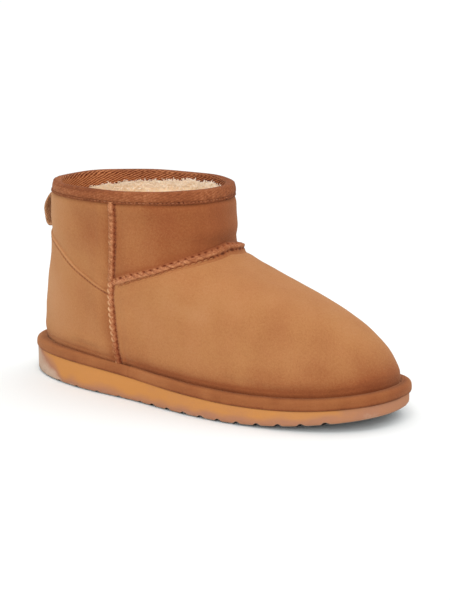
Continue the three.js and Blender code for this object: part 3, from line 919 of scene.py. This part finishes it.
def rand(material):
    turns = even_turns(RAND_COLUMNS)[:, None]
    steps = np.linspace(0, RAND_SECTION[-1]["step"], RAND_ROWS)[None, :]
    out, up = (curve(RAND_SECTION, "step", column)(steps) for column in ("out", "up"))
    x, y = sole_outline(turns, RAND_PROUD + 0.0006 * smooth(70, 20, from_toe(turns)))
    along = run_length(np.stack([x[:, 0], y[:, 0]], -1))[:, None]
    counter_front = float(side_seam_along(0)) * HALF + 2 * SOLE_LENGTH / SOLID_COLUMNS
    on_counter = smooth(counter_front + 0.003, counter_front - 0.003, skin_point(turns, 0.0)[..., 0])
    inner_off = GAP * smooth(0.95, 0.6, up) - RAND_HUGGING * smooth(0.6, 0.95, up)
    inner_off = inner_off + on_counter * (GAP + COUNTER_THICKNESS)
    inner = plain_skin(turns, share_of(RAND_HEIGHT * up), inner_off)
    joint_at = np.interp(RAND_JOINT % (2 * math.pi), turns[:, 0], along[:, 0])
    joint = bell(along - joint_at, RAND_JOINT_WIDTH)
    flat = np.stack([x + 0 * out, y + 0 * out], -1)
    place = inner[..., :2] + (flat - inner[..., :2]) * (out * (1 - 0.05 * joint))[..., None]
    height = RAND_HEIGHT * up * (1 + 0.03 * ripple(inner, 0.035, 41) * up - 0.08 * joint)
    z = sole_top(place[..., 0]) + GAP + height
    points = np.concatenate([place, z[..., None]], -1)
    # Painted light and shade: shade in the crease against the upper, in bands across the top and low on the
    # outer face by the sole; light on the outer rounding, towards the heel's outer back and on the outer
    # side. The joint is darker.
    crease = bell(out, 0.07) * smooth(0.3, 0.8, up)
    tone = 0.2 * ripple(points, 0.04, 42) + 0.15 * ripple(points, 0.012, 43) - 0.5 * crease - 1.5 * joint
    tone = tone - 0.35 * bell(out - 0.3, 0.05) + 0.2 * bell(out - 0.2, 0.05) - 0.2 * bell(out - 0.45, 0.04)
    tone += 0.4 * towards(turns, -150) ** 6 + 0.3 * towards(turns, -75) ** 12 - 0.22
    tone += 0.3 * bell(out - 0.8, 0.25) * up - 0.6 * smooth(0.25, 0.02, up) * smooth(0.5, 0.9, out)
    make_ring("shaded_rand_suede", points, material, "suede_dark", ["rand"], np.clip(tone, -3, 1))


# Sole

SOLE_COLUMNS = 1300
SOLE_STRIPS = 34
SOLE_STRIPS_ABOVE = 4
BOTTOM_ROWS = 9
GROOVES = [
    (row["first"] + i * row["pitch"], row["width"], row["depth"])
    for row in (HEEL_GROOVES, BALL_GROOVES) for i in range(row["count"])
]


def grooves(x):
    """How far the cross grooves cut up into the sole at x."""
    across = [np.clip(1 - (2 * (x - at) / width) ** 2, 0, 1) for at, width, _ in GROOVES]
    return np.max([depth * np.sqrt(k) for k, (_, _, depth) in zip(across, GROOVES)], axis=0)


def notch_shade(x, up):
    """1 in the dark lens at the mouth of each groove, and 0 away from it."""
    lenses = [((x - at) / (0.8 * width)) ** 2 + (up / (0.75 * depth)) ** 2 for at, width, depth in GROOVES]
    return smooth(1.2, 0.5, np.min(lenses, axis=0))


def flank_height(x, up):
    """Height on the sole's side, at a share of the way between its roundings."""
    return (spring_at(x) + BOTTOM_ROUNDING) * (1 - up) + (sole_top(x) - TOP_ROUNDING) * up


def sole(material):
    turns = even_turns(SOLE_COLUMNS)
    rings = []

    def add_ring(inwards, height_of):
        x, y = sole_outline(turns, -inwards)
        rings.append(np.stack([x, y, height_of(x)], -1))

    for angle in np.radians(np.linspace(0, 90, BOTTOM_ROWS)):
        rise = BOTTOM_ROUNDING * (1 - math.cos(angle))
        inwards = BOTTOM_ROUNDING * (1 - math.sin(angle))
        add_ring(inwards, lambda x: spring_at(x) + np.maximum(rise, grooves(x)))
    for up in (0.2, 0.45, 0.75):
        add_ring(0.0, lambda x: flank_height(x, up))
    for angle in np.radians([0, 30, 60, 90]):
        drop = TOP_ROUNDING * (1 - math.sin(angle))
        add_ring(TOP_ROUNDING * (1 - math.cos(angle)), lambda x: sole_top(x) - drop)
    rings = np.array(rings)
    under = capped(rings[0], 0, rings.size // 3, SOLE_STRIPS, lambda x, y: spring_at(x) + grooves(x), False)
    points, faces = with_caps(rings, under, SOLE_STRIPS_ABOVE, lambda x, y: sole_top(x))
    x = points[:, 0]
    up = points[:, 2] - spring_at(x)
    # Painted reflection, grey-mauve, at the heel's back, at the toe and in a low band along the bottom;
    # painted shade along the bottom edge, in the grooves and at their mouths, and darker towards the toe.
    wander = 0.006 * ripple(points, 0.02, 52)
    heel = smooth(-0.083, -0.105, x + wander + 1.5 * (up - 0.008))
    toe = smooth(0.095, 0.114, x + wander - 0.8 * (up - 0.005))
    low_band = 0.9 * smooth(0.0068, 0.0030, up + 0.2 * wander)
    painted_reflection = np.clip(np.maximum(0.8 * toe, low_band) * 0.8 + heel * 1.15, 0, 1.4)
    in_groove = (grooves(x) > 0.0004) * (up < grooves(x) + 0.0001)
    painted_shade = np.clip(1.7 * smooth(0.0010, 0.0003, up) + 2.5 * notch_shade(x, up) + 1.5 * in_groove, 0, 2.5)
    tone = 0.12 * ripple(points, 0.03, 51) - painted_reflection - painted_shade - 0.1 * smooth(-0.02, 0.06, x)
    make_piece("sole_foam", points, faces, material, "foam", ["sole"], np.clip(tone, -3, 1))


# Tape: binding and pull loop

BINDING_COLUMNS = 720
BINDING_ROWS_OUTSIDE = 16
BINDING_ROWS_OVER = 17
BINDING_ROWS_INSIDE = 14
BINDING_FOLD_POWER = 0.8
BINDING_BELLY = 0.0003
BINDING_STITCH_UP = 0.0011
BINDING_STITCH_PITCH = 0.0024
BINDING_THREAD_RADIUS = 0.0002
LOOP_STEPS = 150
LOOP_SIDES = 28
CURVE_STEPS = 40


def tape_inside(turn):
    """How far down the tape's inner leg shows: it lies freer of the wool at the outer back."""
    return BINDING_INSIDE + 0.0022 * towards(turn, 195) ** 1.5


def binding_section(far):
    """Points round the tape: how far each is below the rim, off the suede and above the rim."""
    half_width = WALL / 2 + far
    low = BINDING_OUTSIDE
    rows = [(low, 0.0002, 0), (low + 0.0002, 0.0006, 0), (low, 0.001, 0)]
    rows += [(drop, far, 0) for drop in np.linspace(low - 0.0003, 0.0006, BINDING_ROWS_OUTSIDE)]
    for angle in np.linspace(0, math.pi, BINDING_ROWS_OVER):
        c = math.copysign(abs(math.cos(angle)) ** BINDING_FOLD_POWER, math.cos(angle))
        rows.append((0, half_width * c - WALL / 2, far * abs(math.sin(angle)) ** BINDING_FOLD_POWER))
    inside = np.linspace(0.0006, BINDING_INSIDE - 0.0003, BINDING_ROWS_INSIDE)
    rows += [(drop, -WALL - far, 0) for drop in inside]
    rows += [(BINDING_INSIDE, -WALL - 0.001, 0), (BINDING_INSIDE, -WALL - 0.0002, 0)]
    rows += [(0.002, -WALL - 0.0002, 0), (0.002, 0.0002, 0)]
    return np.array(rows).T[:, None]


def binding(material, thread):
    far = GAP + TAPE_THICKNESS
    drop, off, above = binding_section(far)
    turns = even_turns(BINDING_COLUMNS)[:, None]
    rim = skin_point(turns[:, 0], 1.0)
    along = run_length(rim)
    on_outside = (off > 0) & (drop > 0)
    on_inside = (off < -WALL) & (drop > 0)
    stitch_line = BINDING_OUTSIDE - BINDING_STITCH_UP
    trough = bell(drop - stitch_line, 0.0007) * on_outside
    away, number = from_stitch(along[:, None], BINDING_STITCH_PITCH)
    size = np.random.default_rng(64).uniform(0.2, 1.3, HOLES_DRAWN)[number % HOLES_DRAWN]
    pits = size * bell(away, 0.0005) * bell(drop - stitch_line, 0.0005) * on_outside
    belly = np.sin(math.pi * np.clip(drop / stitch_line, 0, 1))
    off = off + on_outside * BINDING_BELLY * belly - 0.0003 * trough - 0.0005 * pits
    off = off + 0.00025 * ripple(rim, 0.028, 62)[:, None]
    off = off - 0.0007 * towards(turns, 215) ** 4 * ((off > 0) & (drop < 0.0055))
    down = drop * np.where(on_inside, tape_inside(turns) / BINDING_INSIDE, 1)
    points = plain_skin(turns, 1 - share_of(down, rim[:, :1]), off)
    lifted = 0.0003 * ripple(rim, 0.045, 61)[:, None] + 0.0006 * towards(turns, 35) ** 2
    points[..., 2] += above + np.clip(1 - drop / 0.006, 0, 1) * lifted
    # Painted shade in the stitch trough and holes towards the front, and a painted shadow along the outer
    # leg's lower edge; painted light on the outer leg at the outer back and on the inner leg, whose inner
    # front gets painted shade.
    speckled = smooth(0.4, 0.9, towards(turns, -30))
    tone = 0.3 * ripple(points, 0.04, 63) - 0.3 * speckled * trough - 1.1 * speckled * pits
    tone += 0.6 * towards(turns, -125) ** 6 * on_outside
    tone += on_inside * (0.75 + 0.4 * towards(turns, 205) ** 3 - 1.0 * towards(turns, 70) ** 3)
    tone = np.clip(tone - 0.6 * bell(drop - BINDING_OUTSIDE, 0.0004) * (above == 0), -3, 1)
    make_ring("binding_tape", points, material, "tape", ["binding"], tone, band_uv(points))

    turn, arch = dashes(along, turns[:, 0], BINDING_STITCH_PITCH, 0.1, 5)
    share = 1 - share_of(stitch_line, skin_point(turn, 1.0)[..., 0])
    path = plain_skin(turn, share, far - 0.0004 + arch)
    seam_threads("binding_thread", path, skin_normal(turn, share), thread, BINDING_THREAD_RADIUS)


def closed_curve(points, count):
    """Smooth closed curve through points, at even steps along its length."""
    after = np.roll(points, -1, 0)
    gaps = np.sqrt(np.linalg.norm(after - points, axis=-1))[:, None]
    before = np.roll(gaps, 1, 0)
    ahead = (after - points) / gaps
    slopes = (np.roll(ahead, 1, 0) * gaps + ahead * before) / (gaps + before)
    k = np.linspace(0, 1, CURVE_STEPS, endpoint=False)[None, :, None]
    ends = [points, after, slopes * gaps, np.roll(slopes, -1, 0) * gaps]
    fine = hermite(k, *(values[:, None] for values in ends)).reshape(-1, points.shape[1])
    fine = np.concatenate([fine, fine[:1]])
    run = run_length(fine)
    at = np.arange(count) * run[-1] / count
    return np.stack([np.interp(at, run, column) for column in fine.T], -1)


def pull_loop(material):
    head = 1 - share_of(BINDING_OUTSIDE + GAP)
    top = skin_point(math.pi, head)[2] - LOOP_TAPE / 2
    line = []
    for row in LOOP_ROWS:
        share = head - share_of(row["down"] * LOOP_DROP)
        line.append([skin_point(math.pi, share)[0] - row["out"] * LOOP_REACH, top - row["down"] * LOOP_DROP])
    line = closed_curve(np.array(line), LOOP_STEPS)
    tangent = unit(np.roll(line, -1, 0) - np.roll(line, 1, 0))
    across = np.stack([tangent[:, 1], -tangent[:, 0]], -1)
    angle = (np.arange(LOOP_SIDES) + 0.5) * 2 * math.pi / LOOP_SIDES
    c, s = np.cos(angle), np.sin(angle)
    aside = LOOP_WIDTH / 2 * np.sign(c) * np.abs(c) ** 0.22
    thick = LOOP_TAPE / 2 * np.sign(s) * np.abs(s) ** 0.6
    flat = line[:, None] + across[:, None] * thick[None, :, None]
    points = np.stack([flat[..., 0], np.broadcast_to(aside, flat.shape[:2]), flat[..., 1]], -1)
    points[..., 1] += 0.0002 * ripple(points, 0.01, 71)
    tone = np.clip(0.2 * ripple(points, 0.02, 72) - 0.15, -1, 1)
    make_ring("pull_loop_tape", points, material, "tape", ["pull_loop"], tone, band_uv(points))


# Wool: lining, insole and curls

LINING_COLUMNS = 320
LINING_ROWS = 90
LINING_ROWS_BEHIND = 14
INSOLE_COLUMNS = 260
INSOLE_STRIPS = 46
INSOLE_STRIPS_BELOW = 4
PILE = 0.0045
EDGE_PILE = 0.0014
LOCK_STEPS = 6
LOCK_SIDES = 3

# low and high are shares of the height from the wool's own head, sunk is how deep a root lies in the pile,
# and inwards, up and rising give the way it grows, with rising for the toe's end alone.
LOCK_ROWS = table(
    "name count low high sunk inwards up rising scatter length thickness curl seed",
    ("wool_edge", 2400, -0.05, -0.003, 0.0006, 0.6, 0.2, 0.8, 0.5, 0.0024, 0.00045, 0.0006, 6),
    ("wool_collar", 1900, -0.3, -0.012, 0.0012, 0.6, 0.6, 0.0, 0.55, 0.0026, 0.0006, 0.0006, 7),
    ("wool_hairs", 1200, -0.2, -0.004, 0.0008, 1.0, 0.0, 0.3, 0.8, 0.0026, 0.0002, 0.0007, 8),
    ("wool_foot", 1300, -0.75, -0.28, 0.0012, 1.0, 0.0, 0.0, 0.7, 0.0034, 0.0006, 0.001, 9),
)
INSOLE_LOCKS = {
    "name": "wool_insole", "count": 900, "scatter": 0.7, "length": 0.003, "thickness": 0.0006, "curl": 0.001,
    "seed": 10,
}
UPWARDS = np.array([0.0, 0.0, 1.0])


def wool_drop(turn):
    """How far below the rim the wool starts: it swells over the tape's edge towards the toe."""
    waves = 0.0005 * np.sin(11 * turn + 2 * np.sin(5 * turn)) + 0.0003 * np.sin(29 * turn)
    return tape_inside(turn) - 0.0008 - 0.0026 * towards(turn, 45) ** 2 + waves * towards(turn, 70)


def wool_head(turn):
    return 1 - share_of(wool_drop(turn), skin_point(turn, 1.0)[..., 0])


def wool_depth(turn, share):
    """How far the pile's face stands in from the suede's outer face."""
    points = skin_point(turn, share)
    below = RIM_HEIGHT - points[..., 2] - wool_drop(turn)
    lumps = 0.0007 * ripple(points, 0.011, 81) + 0.0003 * ripple(points, 0.005, 82)
    return WALL + EDGE_PILE + (PILE - EDGE_PILE + lumps) * np.sqrt(np.clip(below / 0.005, 0, 1))


def lining(material):
    turns = even_turns(LINING_COLUMNS)[:, None]
    foot = float(share_of(INSOLE_THICKNESS * 0.5))
    head = wool_head(turns)
    up = foot + (head - foot) * even_shares(LINING_ROWS_BEHIND)[None, :]
    down = foot + (head - foot) * (1 - (1 - even_shares(LINING_ROWS)[None, ::-1]) ** 1.3)
    face = plain_skin(turns, down, -wool_depth(turns, down))
    points = np.concatenate([plain_skin(turns, up, -WALL - 0.0002), face], 1)
    make_ring("wool_lining", points, material, "fleece", (), np.clip(0.3 * ripple(points, 0.007, 83), -1, 1))


def insole(material):
    turns = even_turns(INSOLE_COLUMNS)
    levels = [(0.0, 0.0), (0.4, 0.0), (0.8, 0.0), (0.95, 0.0004), (1.0, 0.0012)]
    rings = np.array([
        plain_skin(turns, share_of(INSOLE_THICKNESS * level), -WALL - GAP - inwards)
        for level, inwards in levels
    ])

    def fleecy(x, y):
        place = np.stack([x, y, 0 * x], -1)
        lumps = 0.0007 * ripple(place, 0.009, 91) + 0.0004 * ripple(place, 0.004, 92)
        return sole_top(x) + GAP + INSOLE_THICKNESS + lumps + 0.0006

    size = rings.size // 3
    under = capped(rings[0], 0, size, INSOLE_STRIPS_BELOW, lambda x, y: sole_top(x) + GAP, False)
    points, faces = with_caps(rings, under, INSOLE_STRIPS, fleecy)
    tone = np.clip(0.4 * ripple(points, 0.007, 93), -1, 1)
    make_piece("insole_fleece", points, faces, material, "fleece", ["insole"], tone)


def locks(row, roots, heading, material):
    """Curly locks of wool, joined: each starts at its root, goes its heading's way and curls round it."""
    draw = np.random.default_rng(row["seed"])
    count = len(roots)
    k = np.linspace(0, 1, LOCK_STEPS)[None, :, None]
    heading = unit(heading + draw.normal(scale=row["scatter"], size=(count, 3)))
    side = unit(np.cross(heading, draw.normal(size=(count, 3))))
    other = np.cross(heading, side)
    reach = (row["length"] * draw.uniform(0.6, 1.25, count))[:, None, None]
    turns = draw.uniform(3.0, 7.0, count)[:, None, None] * draw.choice([-1, 1], count)[:, None, None]
    wide = row["curl"] * draw.uniform(0.5, 1.3, count)[:, None, None]
    curl = side[:, None] * (np.cos(turns * k) - 1) + other[:, None] * np.sin(turns * k)
    paths = roots[:, None] + heading[:, None] * reach * k + curl * wide
    radii = row["thickness"] * draw.uniform(0.7, 1.2, count)[:, None] * np.sqrt(1 - 0.85 * k[:, :, 0] ** 2)
    points, faces, ends = tubes(paths, side[:, None] + 0 * paths, radii, LOCK_SIDES)
    tone = np.repeat(draw.uniform(-0.4, 0.6, count), LOCK_STEPS * LOCK_SIDES)
    make_piece(row["name"], points, [faces, ends], material, "fleece", (), tone)


def wool(material):
    lining(material)
    insole(material)
    draw = np.random.default_rng(5)
    fine = np.linspace(0, 2 * math.pi, 721)
    run = run_length(skin_point(fine, 0.85))
    for row in LOCK_ROWS:
        turn = np.interp(draw.uniform(0, run[-1], row["count"]), run, fine)
        share = wool_head(turn) + draw.uniform(row["low"], row["high"], row["count"])
        roots = plain_skin(turn, share, row["sunk"] - wool_depth(turn, share))
        rising = (row["up"] + row["rising"] * towards(turn, 45))[:, None]
        locks(row, roots, UPWARDS * rising - skin_normal(turn, share) * row["inwards"], material)
    count = INSOLE_LOCKS["count"]
    edge = plain_skin(draw.uniform(0, 2 * math.pi, count), share_of(INSOLE_THICKNESS), -WALL - 0.003)
    centre = np.array([-0.01, 0.0, 0.0])
    roots = centre + (edge - centre) * np.sqrt(draw.uniform(0, 1, count))[:, None]
    roots[:, 2] = sole_top(roots[:, 0]) + GAP + INSOLE_THICKNESS
    locks(INSOLE_LOCKS, roots, UPWARDS, material)


# Materials


def shade(red, green, blue):
    """A colour as read off a screen, 0 to 255, in the values that Blender's sockets take."""
    linear = [((c / 255 + 0.055) / 1.055) ** 2.4 if c > 10 else c / 255 / 12.92 for c in (red, green, blue)]
    return (*linear, 1.0)


class Shader:
    """Builds the nodes of one material."""

    def __init__(self, name):
        self.material = bpy.data.materials.new(name)
        self.material.use_nodes = True
        self.tree = self.material.node_tree
        self.tree.nodes.clear()
        self.place = self.add("ShaderNodeTexCoord").outputs["Object"]

    def add(self, kind, inputs=None, **settings):
        made = self.tree.nodes.new(kind)
        for key, value in settings.items():
            setattr(made, key, value)
        for key, value in (inputs or {}).items():
            if isinstance(value, bpy.types.NodeSocket):
                self.tree.links.new(value, made.inputs[key])
            else:
                made.inputs[key].default_value = value
        return made

    def tone(self):
        return self.add("ShaderNodeAttribute", attribute_name="tone").outputs["Fac"]

    def along_across(self):
        return self.add("ShaderNodeUVMap", uv_map="along_across").outputs["UV"]

    def math(self, operation, *values):
        return self.add("ShaderNodeMath", dict(enumerate(values)), operation=operation).outputs[0]

    def sum(self, *pairs):
        """Adds value times weight for each pair."""
        total = 0.0
        for value, weight in pairs:
            total = self.math("MULTIPLY_ADD", value, weight, total)
        return total

    def noise(self, size, detail=2.0, roughness=0.5, stretch=(1, 1, 1)):
        """Cloudy noise around nought, with lumps of about that size in metres."""
        place = self.add("ShaderNodeVectorMath", {0: self.place, 1: stretch}, operation="MULTIPLY")
        inputs = {"Vector": place.outputs[0], "Scale": 1 / size, "Detail": detail, "Roughness": roughness}
        return self.math("SUBTRACT", self.add("ShaderNodeTexNoise", inputs).outputs["Fac"], 0.5)

    def cells(self, size):
        inputs = {"Vector": self.place, "Scale": 1 / size}
        return self.add("ShaderNodeTexVoronoi", inputs).outputs["Distance"]

    def ramp(self, value, *stops):
        """Colours along a value from 0 to 1: each stop is its place and a colour as read off a screen."""
        made = self.add("ShaderNodeValToRGB", {"Fac": value})
        elements = made.color_ramp.elements
        while len(elements) < len(stops):
            elements.new(1.0)
        for element, (place, colour) in zip(elements, stops):
            element.position, element.color = place, shade(*colour)
        return made.outputs["Color"]

    def bump(self, height, distance, strength=1.0, normal=None):
        inputs = {"Height": height, "Distance": distance, "Strength": strength}
        if normal is not None:
            inputs["Normal"] = normal
        return self.add("ShaderNodeBump", inputs).outputs["Normal"]

    def finish(self, **inputs):
        names = {key.replace("_", " "): value for key, value in inputs.items()}
        surface = self.add("ShaderNodeBsdfPrincipled", names)
        self.add("ShaderNodeOutputMaterial", {"Surface": surface.outputs[0]})
        return self.material


ROSY_STOPS = [
    (0.0, (112, 52, 28)), (0.22, (130, 68, 40)), (0.5, (146, 86, 54)), (0.72, (176, 116, 79)),
    (1.0, (198, 146, 107)),
]
TAPE_INNER_LEG = 0.0135
WARP_PITCH = 0.0008


def suede(name, hole, deep, dark, middle, light, base):
    """Brushed suede: soft patches where the nap lies another way, a fine grain and short streaks."""
    made = Shader(name)
    patches = made.noise(0.022, 3.0)
    brushed = made.noise(0.012, 2.0, stretch=(1.0, 1.0, 0.4))
    grain = made.noise(0.0011, 3.0, 0.65)
    fine = made.noise(0.00045, 2.0, 0.7)
    mix = made.sum(
        (made.tone(), 0.3), (patches, 0.045), (brushed, 0.1), (grain, 0.22), (fine, 0.2), (1.0, base)
    )
    plain = made.ramp(mix, (0.0, hole), (0.22, deep), (0.42, dark), (0.66, middle), (1.0, light))
    rosy = made.ramp(mix, *ROSY_STOPS)
    ridge = made.add("ShaderNodeAttribute", attribute_name="ridge").outputs["Fac"]
    colour = made.add("ShaderNodeMix", {"Factor": ridge, "A": plain, "B": rosy}, data_type="RGBA")
    hue = made.sum((made.noise(0.016, 3.0, 0.6), 0.007), (1.0, 0.5))
    varied = made.add("ShaderNodeHueSaturation", {"Hue": hue, "Color": colour.outputs[2]}).outputs[0]
    nap = made.bump(made.sum((grain, 1.0), (fine, 0.6), (brushed, 0.8)), 0.0005, 0.5)
    return made.finish(
        Base_Color=varied, Normal=nap, Roughness=0.95, Specular_IOR_Level=0.15, Sheen_Weight=0.22,
        Sheen_Roughness=0.45, Sheen_Tint=shade(245, 200, 158),
    )


def tape(name, dark, middle, light, rib):
    """Woven tape: a twill of slanted ribs, each of short floats, plainer outside than on its inner leg."""
    made = Shader(name)
    split = made.add("ShaderNodeSeparateXYZ", {0: made.along_across()})
    along, across = split.outputs[0], split.outputs[1]
    slanted = made.math("SUBTRACT", across, made.math("MULTIPLY", along, 0.4))
    slanted = made.math("MULTIPLY", slanted, 2 * math.pi / rib)
    uneven = made.sum((made.noise(0.005, 2.0), 5.0), (made.noise(0.0013, 2.0, 0.6), 4.0), (slanted, 1.0))
    weft = made.math("SINE", uneven)
    warp = made.math("SINE", made.math("MULTIPLY", across, 2 * math.pi / WARP_PITCH))
    weave = made.sum((weft, 0.7), (made.math("MULTIPLY", weft, warp), 0.3))
    fuzz = made.noise(0.0007, 3.0, 0.7)
    patches = made.noise(0.02, 2.0)
    knots = made.noise(0.0021, 2.0, 0.6)
    inner = made.math("GREATER_THAN", across, TAPE_INNER_LEG)
    ribbed = made.math("MULTIPLY", weave, made.math("MULTIPLY_ADD", inner, 0.85, 0.1))
    mix = made.sum(
        (made.tone(), 0.25), (ribbed, 0.6), (fuzz, 0.5), (knots, 0.55), (patches, 0.2), (1.0, 0.46)
    )
    woven = made.bump(made.sum((weave, 1.0), (fuzz, 1.2)), 0.0003, 0.7)
    return made.finish(
        Base_Color=made.ramp(mix, (0.0, dark), (0.5, middle), (1.0, light)), Normal=woven, Roughness=0.85,
        Specular_IOR_Level=0.15, Sheen_Weight=0.05, Sheen_Roughness=0.4, Sheen_Tint=shade(230, 170, 120),
    )


def foam(name, clean, painted_reflection, grey, shade_colour):
    """Light moulded foam: matt and faintly speckled, with a painted grey reflection and painted shade
    brought in by its tone.
    """
    made = Shader(name)
    patches = made.noise(0.018, 3.0, 0.6)
    speckle = made.noise(0.0012, 3.0, 0.7)
    mix = made.sum((made.tone(), -0.5), (patches, 0.3), (speckle, 0.15))
    colour = made.ramp(mix, (0.0, clean), (0.42, painted_reflection), (0.65, grey), (1.0, shade_colour))
    pored = made.bump(made.sum((speckle, 0.7), (made.cells(0.0009), 0.5)), 0.0002, 0.4)
    return made.finish(Base_Color=colour, Normal=pored, Roughness=0.8, Specular_IOR_Level=0.2)


def fleece(name, dark, light):
    made = Shader(name)
    clumps = made.noise(0.004, 3.0, 0.6)
    strands = made.noise(0.0007, 3.0, 0.7)
    mix = made.sum((made.tone(), 0.25), (clumps, 0.3), (strands, 0.3), (1.0, 0.6))
    curly = made.bump(made.sum((clumps, 2.0), (strands, 0.7)), 0.0006, 0.4)
    # The emission is painted light: the wool glows a little, standing in for light passing through it.
    return made.finish(
        Base_Color=made.ramp(mix, (0.0, dark), (1.0, light)), Normal=curly, Roughness=0.95,
        Emission_Color=shade(255, 218, 178), Emission_Strength=0.17, Specular_IOR_Level=0.1,
        Sheen_Weight=0.15, Sheen_Roughness=0.45, Sheen_Tint=shade(255, 238, 210),
        Subsurface_Weight=0.9, Subsurface_Scale=0.008, Subsurface_Radius=(1.0, 0.8, 0.6),
    )


def thread(name, dark, light):
    made = Shader(name)
    wave = {"Vector": made.place, "Scale": 900.0, "Distortion": 2.0}
    plies = made.add("ShaderNodeTexWave", wave).outputs["Fac"]
    mix = made.sum((made.tone(), 0.3), (plies, 0.3), (1.0, 0.3))
    return made.finish(
        Base_Color=made.ramp(mix, (0.0, dark), (1.0, light)), Normal=made.bump(plies, 0.00015, 0.6),
        Roughness=0.85, Specular_IOR_Level=0.1,
    )


def plain_paper(name):
    made = Shader(name)
    mix = made.sum((made.noise(0.4, 1.0), 0.05), (1.0, 0.5))
    colour = made.ramp(mix, (0.0, (243, 247, 248)), (1.0, (246, 250, 251)))
    return made.finish(Base_Color=colour, Roughness=0.9, Specular_IOR_Level=0.05)


# Floor, light and camera

CAMERA_AROUND = 35.065
CAMERA_ABOVE = 13.208
CAMERA_DISTANCE = 0.81325
CAMERA_AIM = (0.01119, 0.00081, 0.05913)
FOCAL_PIXELS = 1338.33
FRAME_HEIGHT = 600
FLOOR_REACH = 60.0
WORLD_STRENGTH = 0.78
SUN_COLOUR = (1.0, 0.99, 0.97)
LAMP_PLACE = (0.1, -0.3, 0.8)
LAMP_AIM = (-0.05, 0, 0.12)


def floor():
    mesh = bpy.data.meshes.new("floor")
    corners = [(x * FLOOR_REACH, y * FLOOR_REACH, 0) for x, y in ((-1, -1), (1, -1), (1, 1), (-1, 1))]
    mesh.from_pydata(corners, [], [(0, 1, 2, 3)])
    mesh.materials.append(plain_paper("paper"))
    sheet = bpy.data.objects.new("floor", mesh)
    bpy.context.scene.collection.objects.link(sheet)


def direction(around, above):
    """Way out from the boot, in degrees from its outer side towards the toe and up from the floor."""
    a, e = math.radians(around), math.radians(above)
    return Vector((math.sin(a) * math.cos(e), -math.cos(a) * math.cos(e), math.sin(e)))


def put(name, seen, back, place=(0, 0, 0)):
    """Puts a light or camera in the scene, looking against back."""
    thing = bpy.data.objects.new(name, seen)
    thing.location = place
    thing.rotation_euler = back.to_track_quat("Z", "Y").to_euler()
    bpy.context.scene.collection.objects.link(thing)
    return thing


def light(name, kind, power, colour, **settings):
    made = bpy.data.lights.new(name, kind)
    made.energy = power
    made.color = colour
    for key, value in settings.items():
        setattr(made, key, value)
    return made


def lights():
    world = bpy.data.worlds.new("studio")
    bpy.context.scene.world = world
    world.use_nodes = True
    background = world.node_tree.nodes["Background"]
    background.inputs["Color"].default_value = (1, 1, 1, 1)
    background.inputs["Strength"].default_value = WORLD_STRENGTH
    front = light("front_sun", "SUN", 1.3, SUN_COLOUR, angle=math.radians(50))
    put("front_sun", front, direction(32, 22))
    high = light("high_sun", "SUN", 0.8, SUN_COLOUR, angle=math.radians(60))
    put("high_sun", high, direction(140, 55))
    settings = {"shape": "DISK", "size": 0.4, "spread": math.radians(40)}
    lamp = light("collar_lamp", "AREA", 0.12, (1.0, 0.98, 0.95), **settings)
    put("collar_lamp", lamp, Vector(LAMP_PLACE) - Vector(LAMP_AIM), LAMP_PLACE)
    bpy.context.scene.view_settings.view_transform = "Standard"


def camera():
    seen = bpy.data.cameras.new("camera")
    seen.sensor_width = 36.0
    seen.lens = FOCAL_PIXELS / FRAME_HEIGHT * seen.sensor_width
    seen.clip_start = 0.01
    back = direction(CAMERA_AROUND, CAMERA_ABOVE)
    bpy.context.scene.camera = put("camera", seen, back, Vector(CAMERA_AIM) + back * CAMERA_DISTANCE)


camera()
lights()
floor()

brown_suede = suede(
    "suede", (94, 43, 21), (114, 58, 30), (137, 77, 43), (166, 112, 69), (186, 138, 98), 0.66
)
# The rand's suede is the upper's suede made darker, as painted shade.
shaded_rand_suede = suede(
    "suede_rand", (48, 24, 12), (98, 49, 25), (131, 73, 41), (152, 94, 55), (176, 122, 80), 0.52
)
brown_tape = tape("tape", (76, 26, 14), (140, 79, 46), (198, 134, 92), 0.0016)
grey_tape = tape("tape_loop", (112, 66, 40), (180, 127, 87), (212, 168, 128), 0.0012)
orange_foam = foam("foam", (188, 128, 69), (163, 113, 86), (186, 159, 138), (34, 22, 15))
cream_wool = fleece("fleece", (218, 194, 158), (230, 212, 188))
cream_thread = thread("thread_light", (150, 92, 56), (226, 178, 134))
brown_thread = thread("thread_dark", (122, 66, 40), (200, 136, 98))

upper(brown_suede)
heel_counter(brown_suede, brown_thread)
seams(brown_suede, cream_thread, brown_thread)
rand(shaded_rand_suede)
sole(orange_foam)
binding(brown_tape, brown_thread)
pull_loop(grey_tape)
wool(cream_wool)
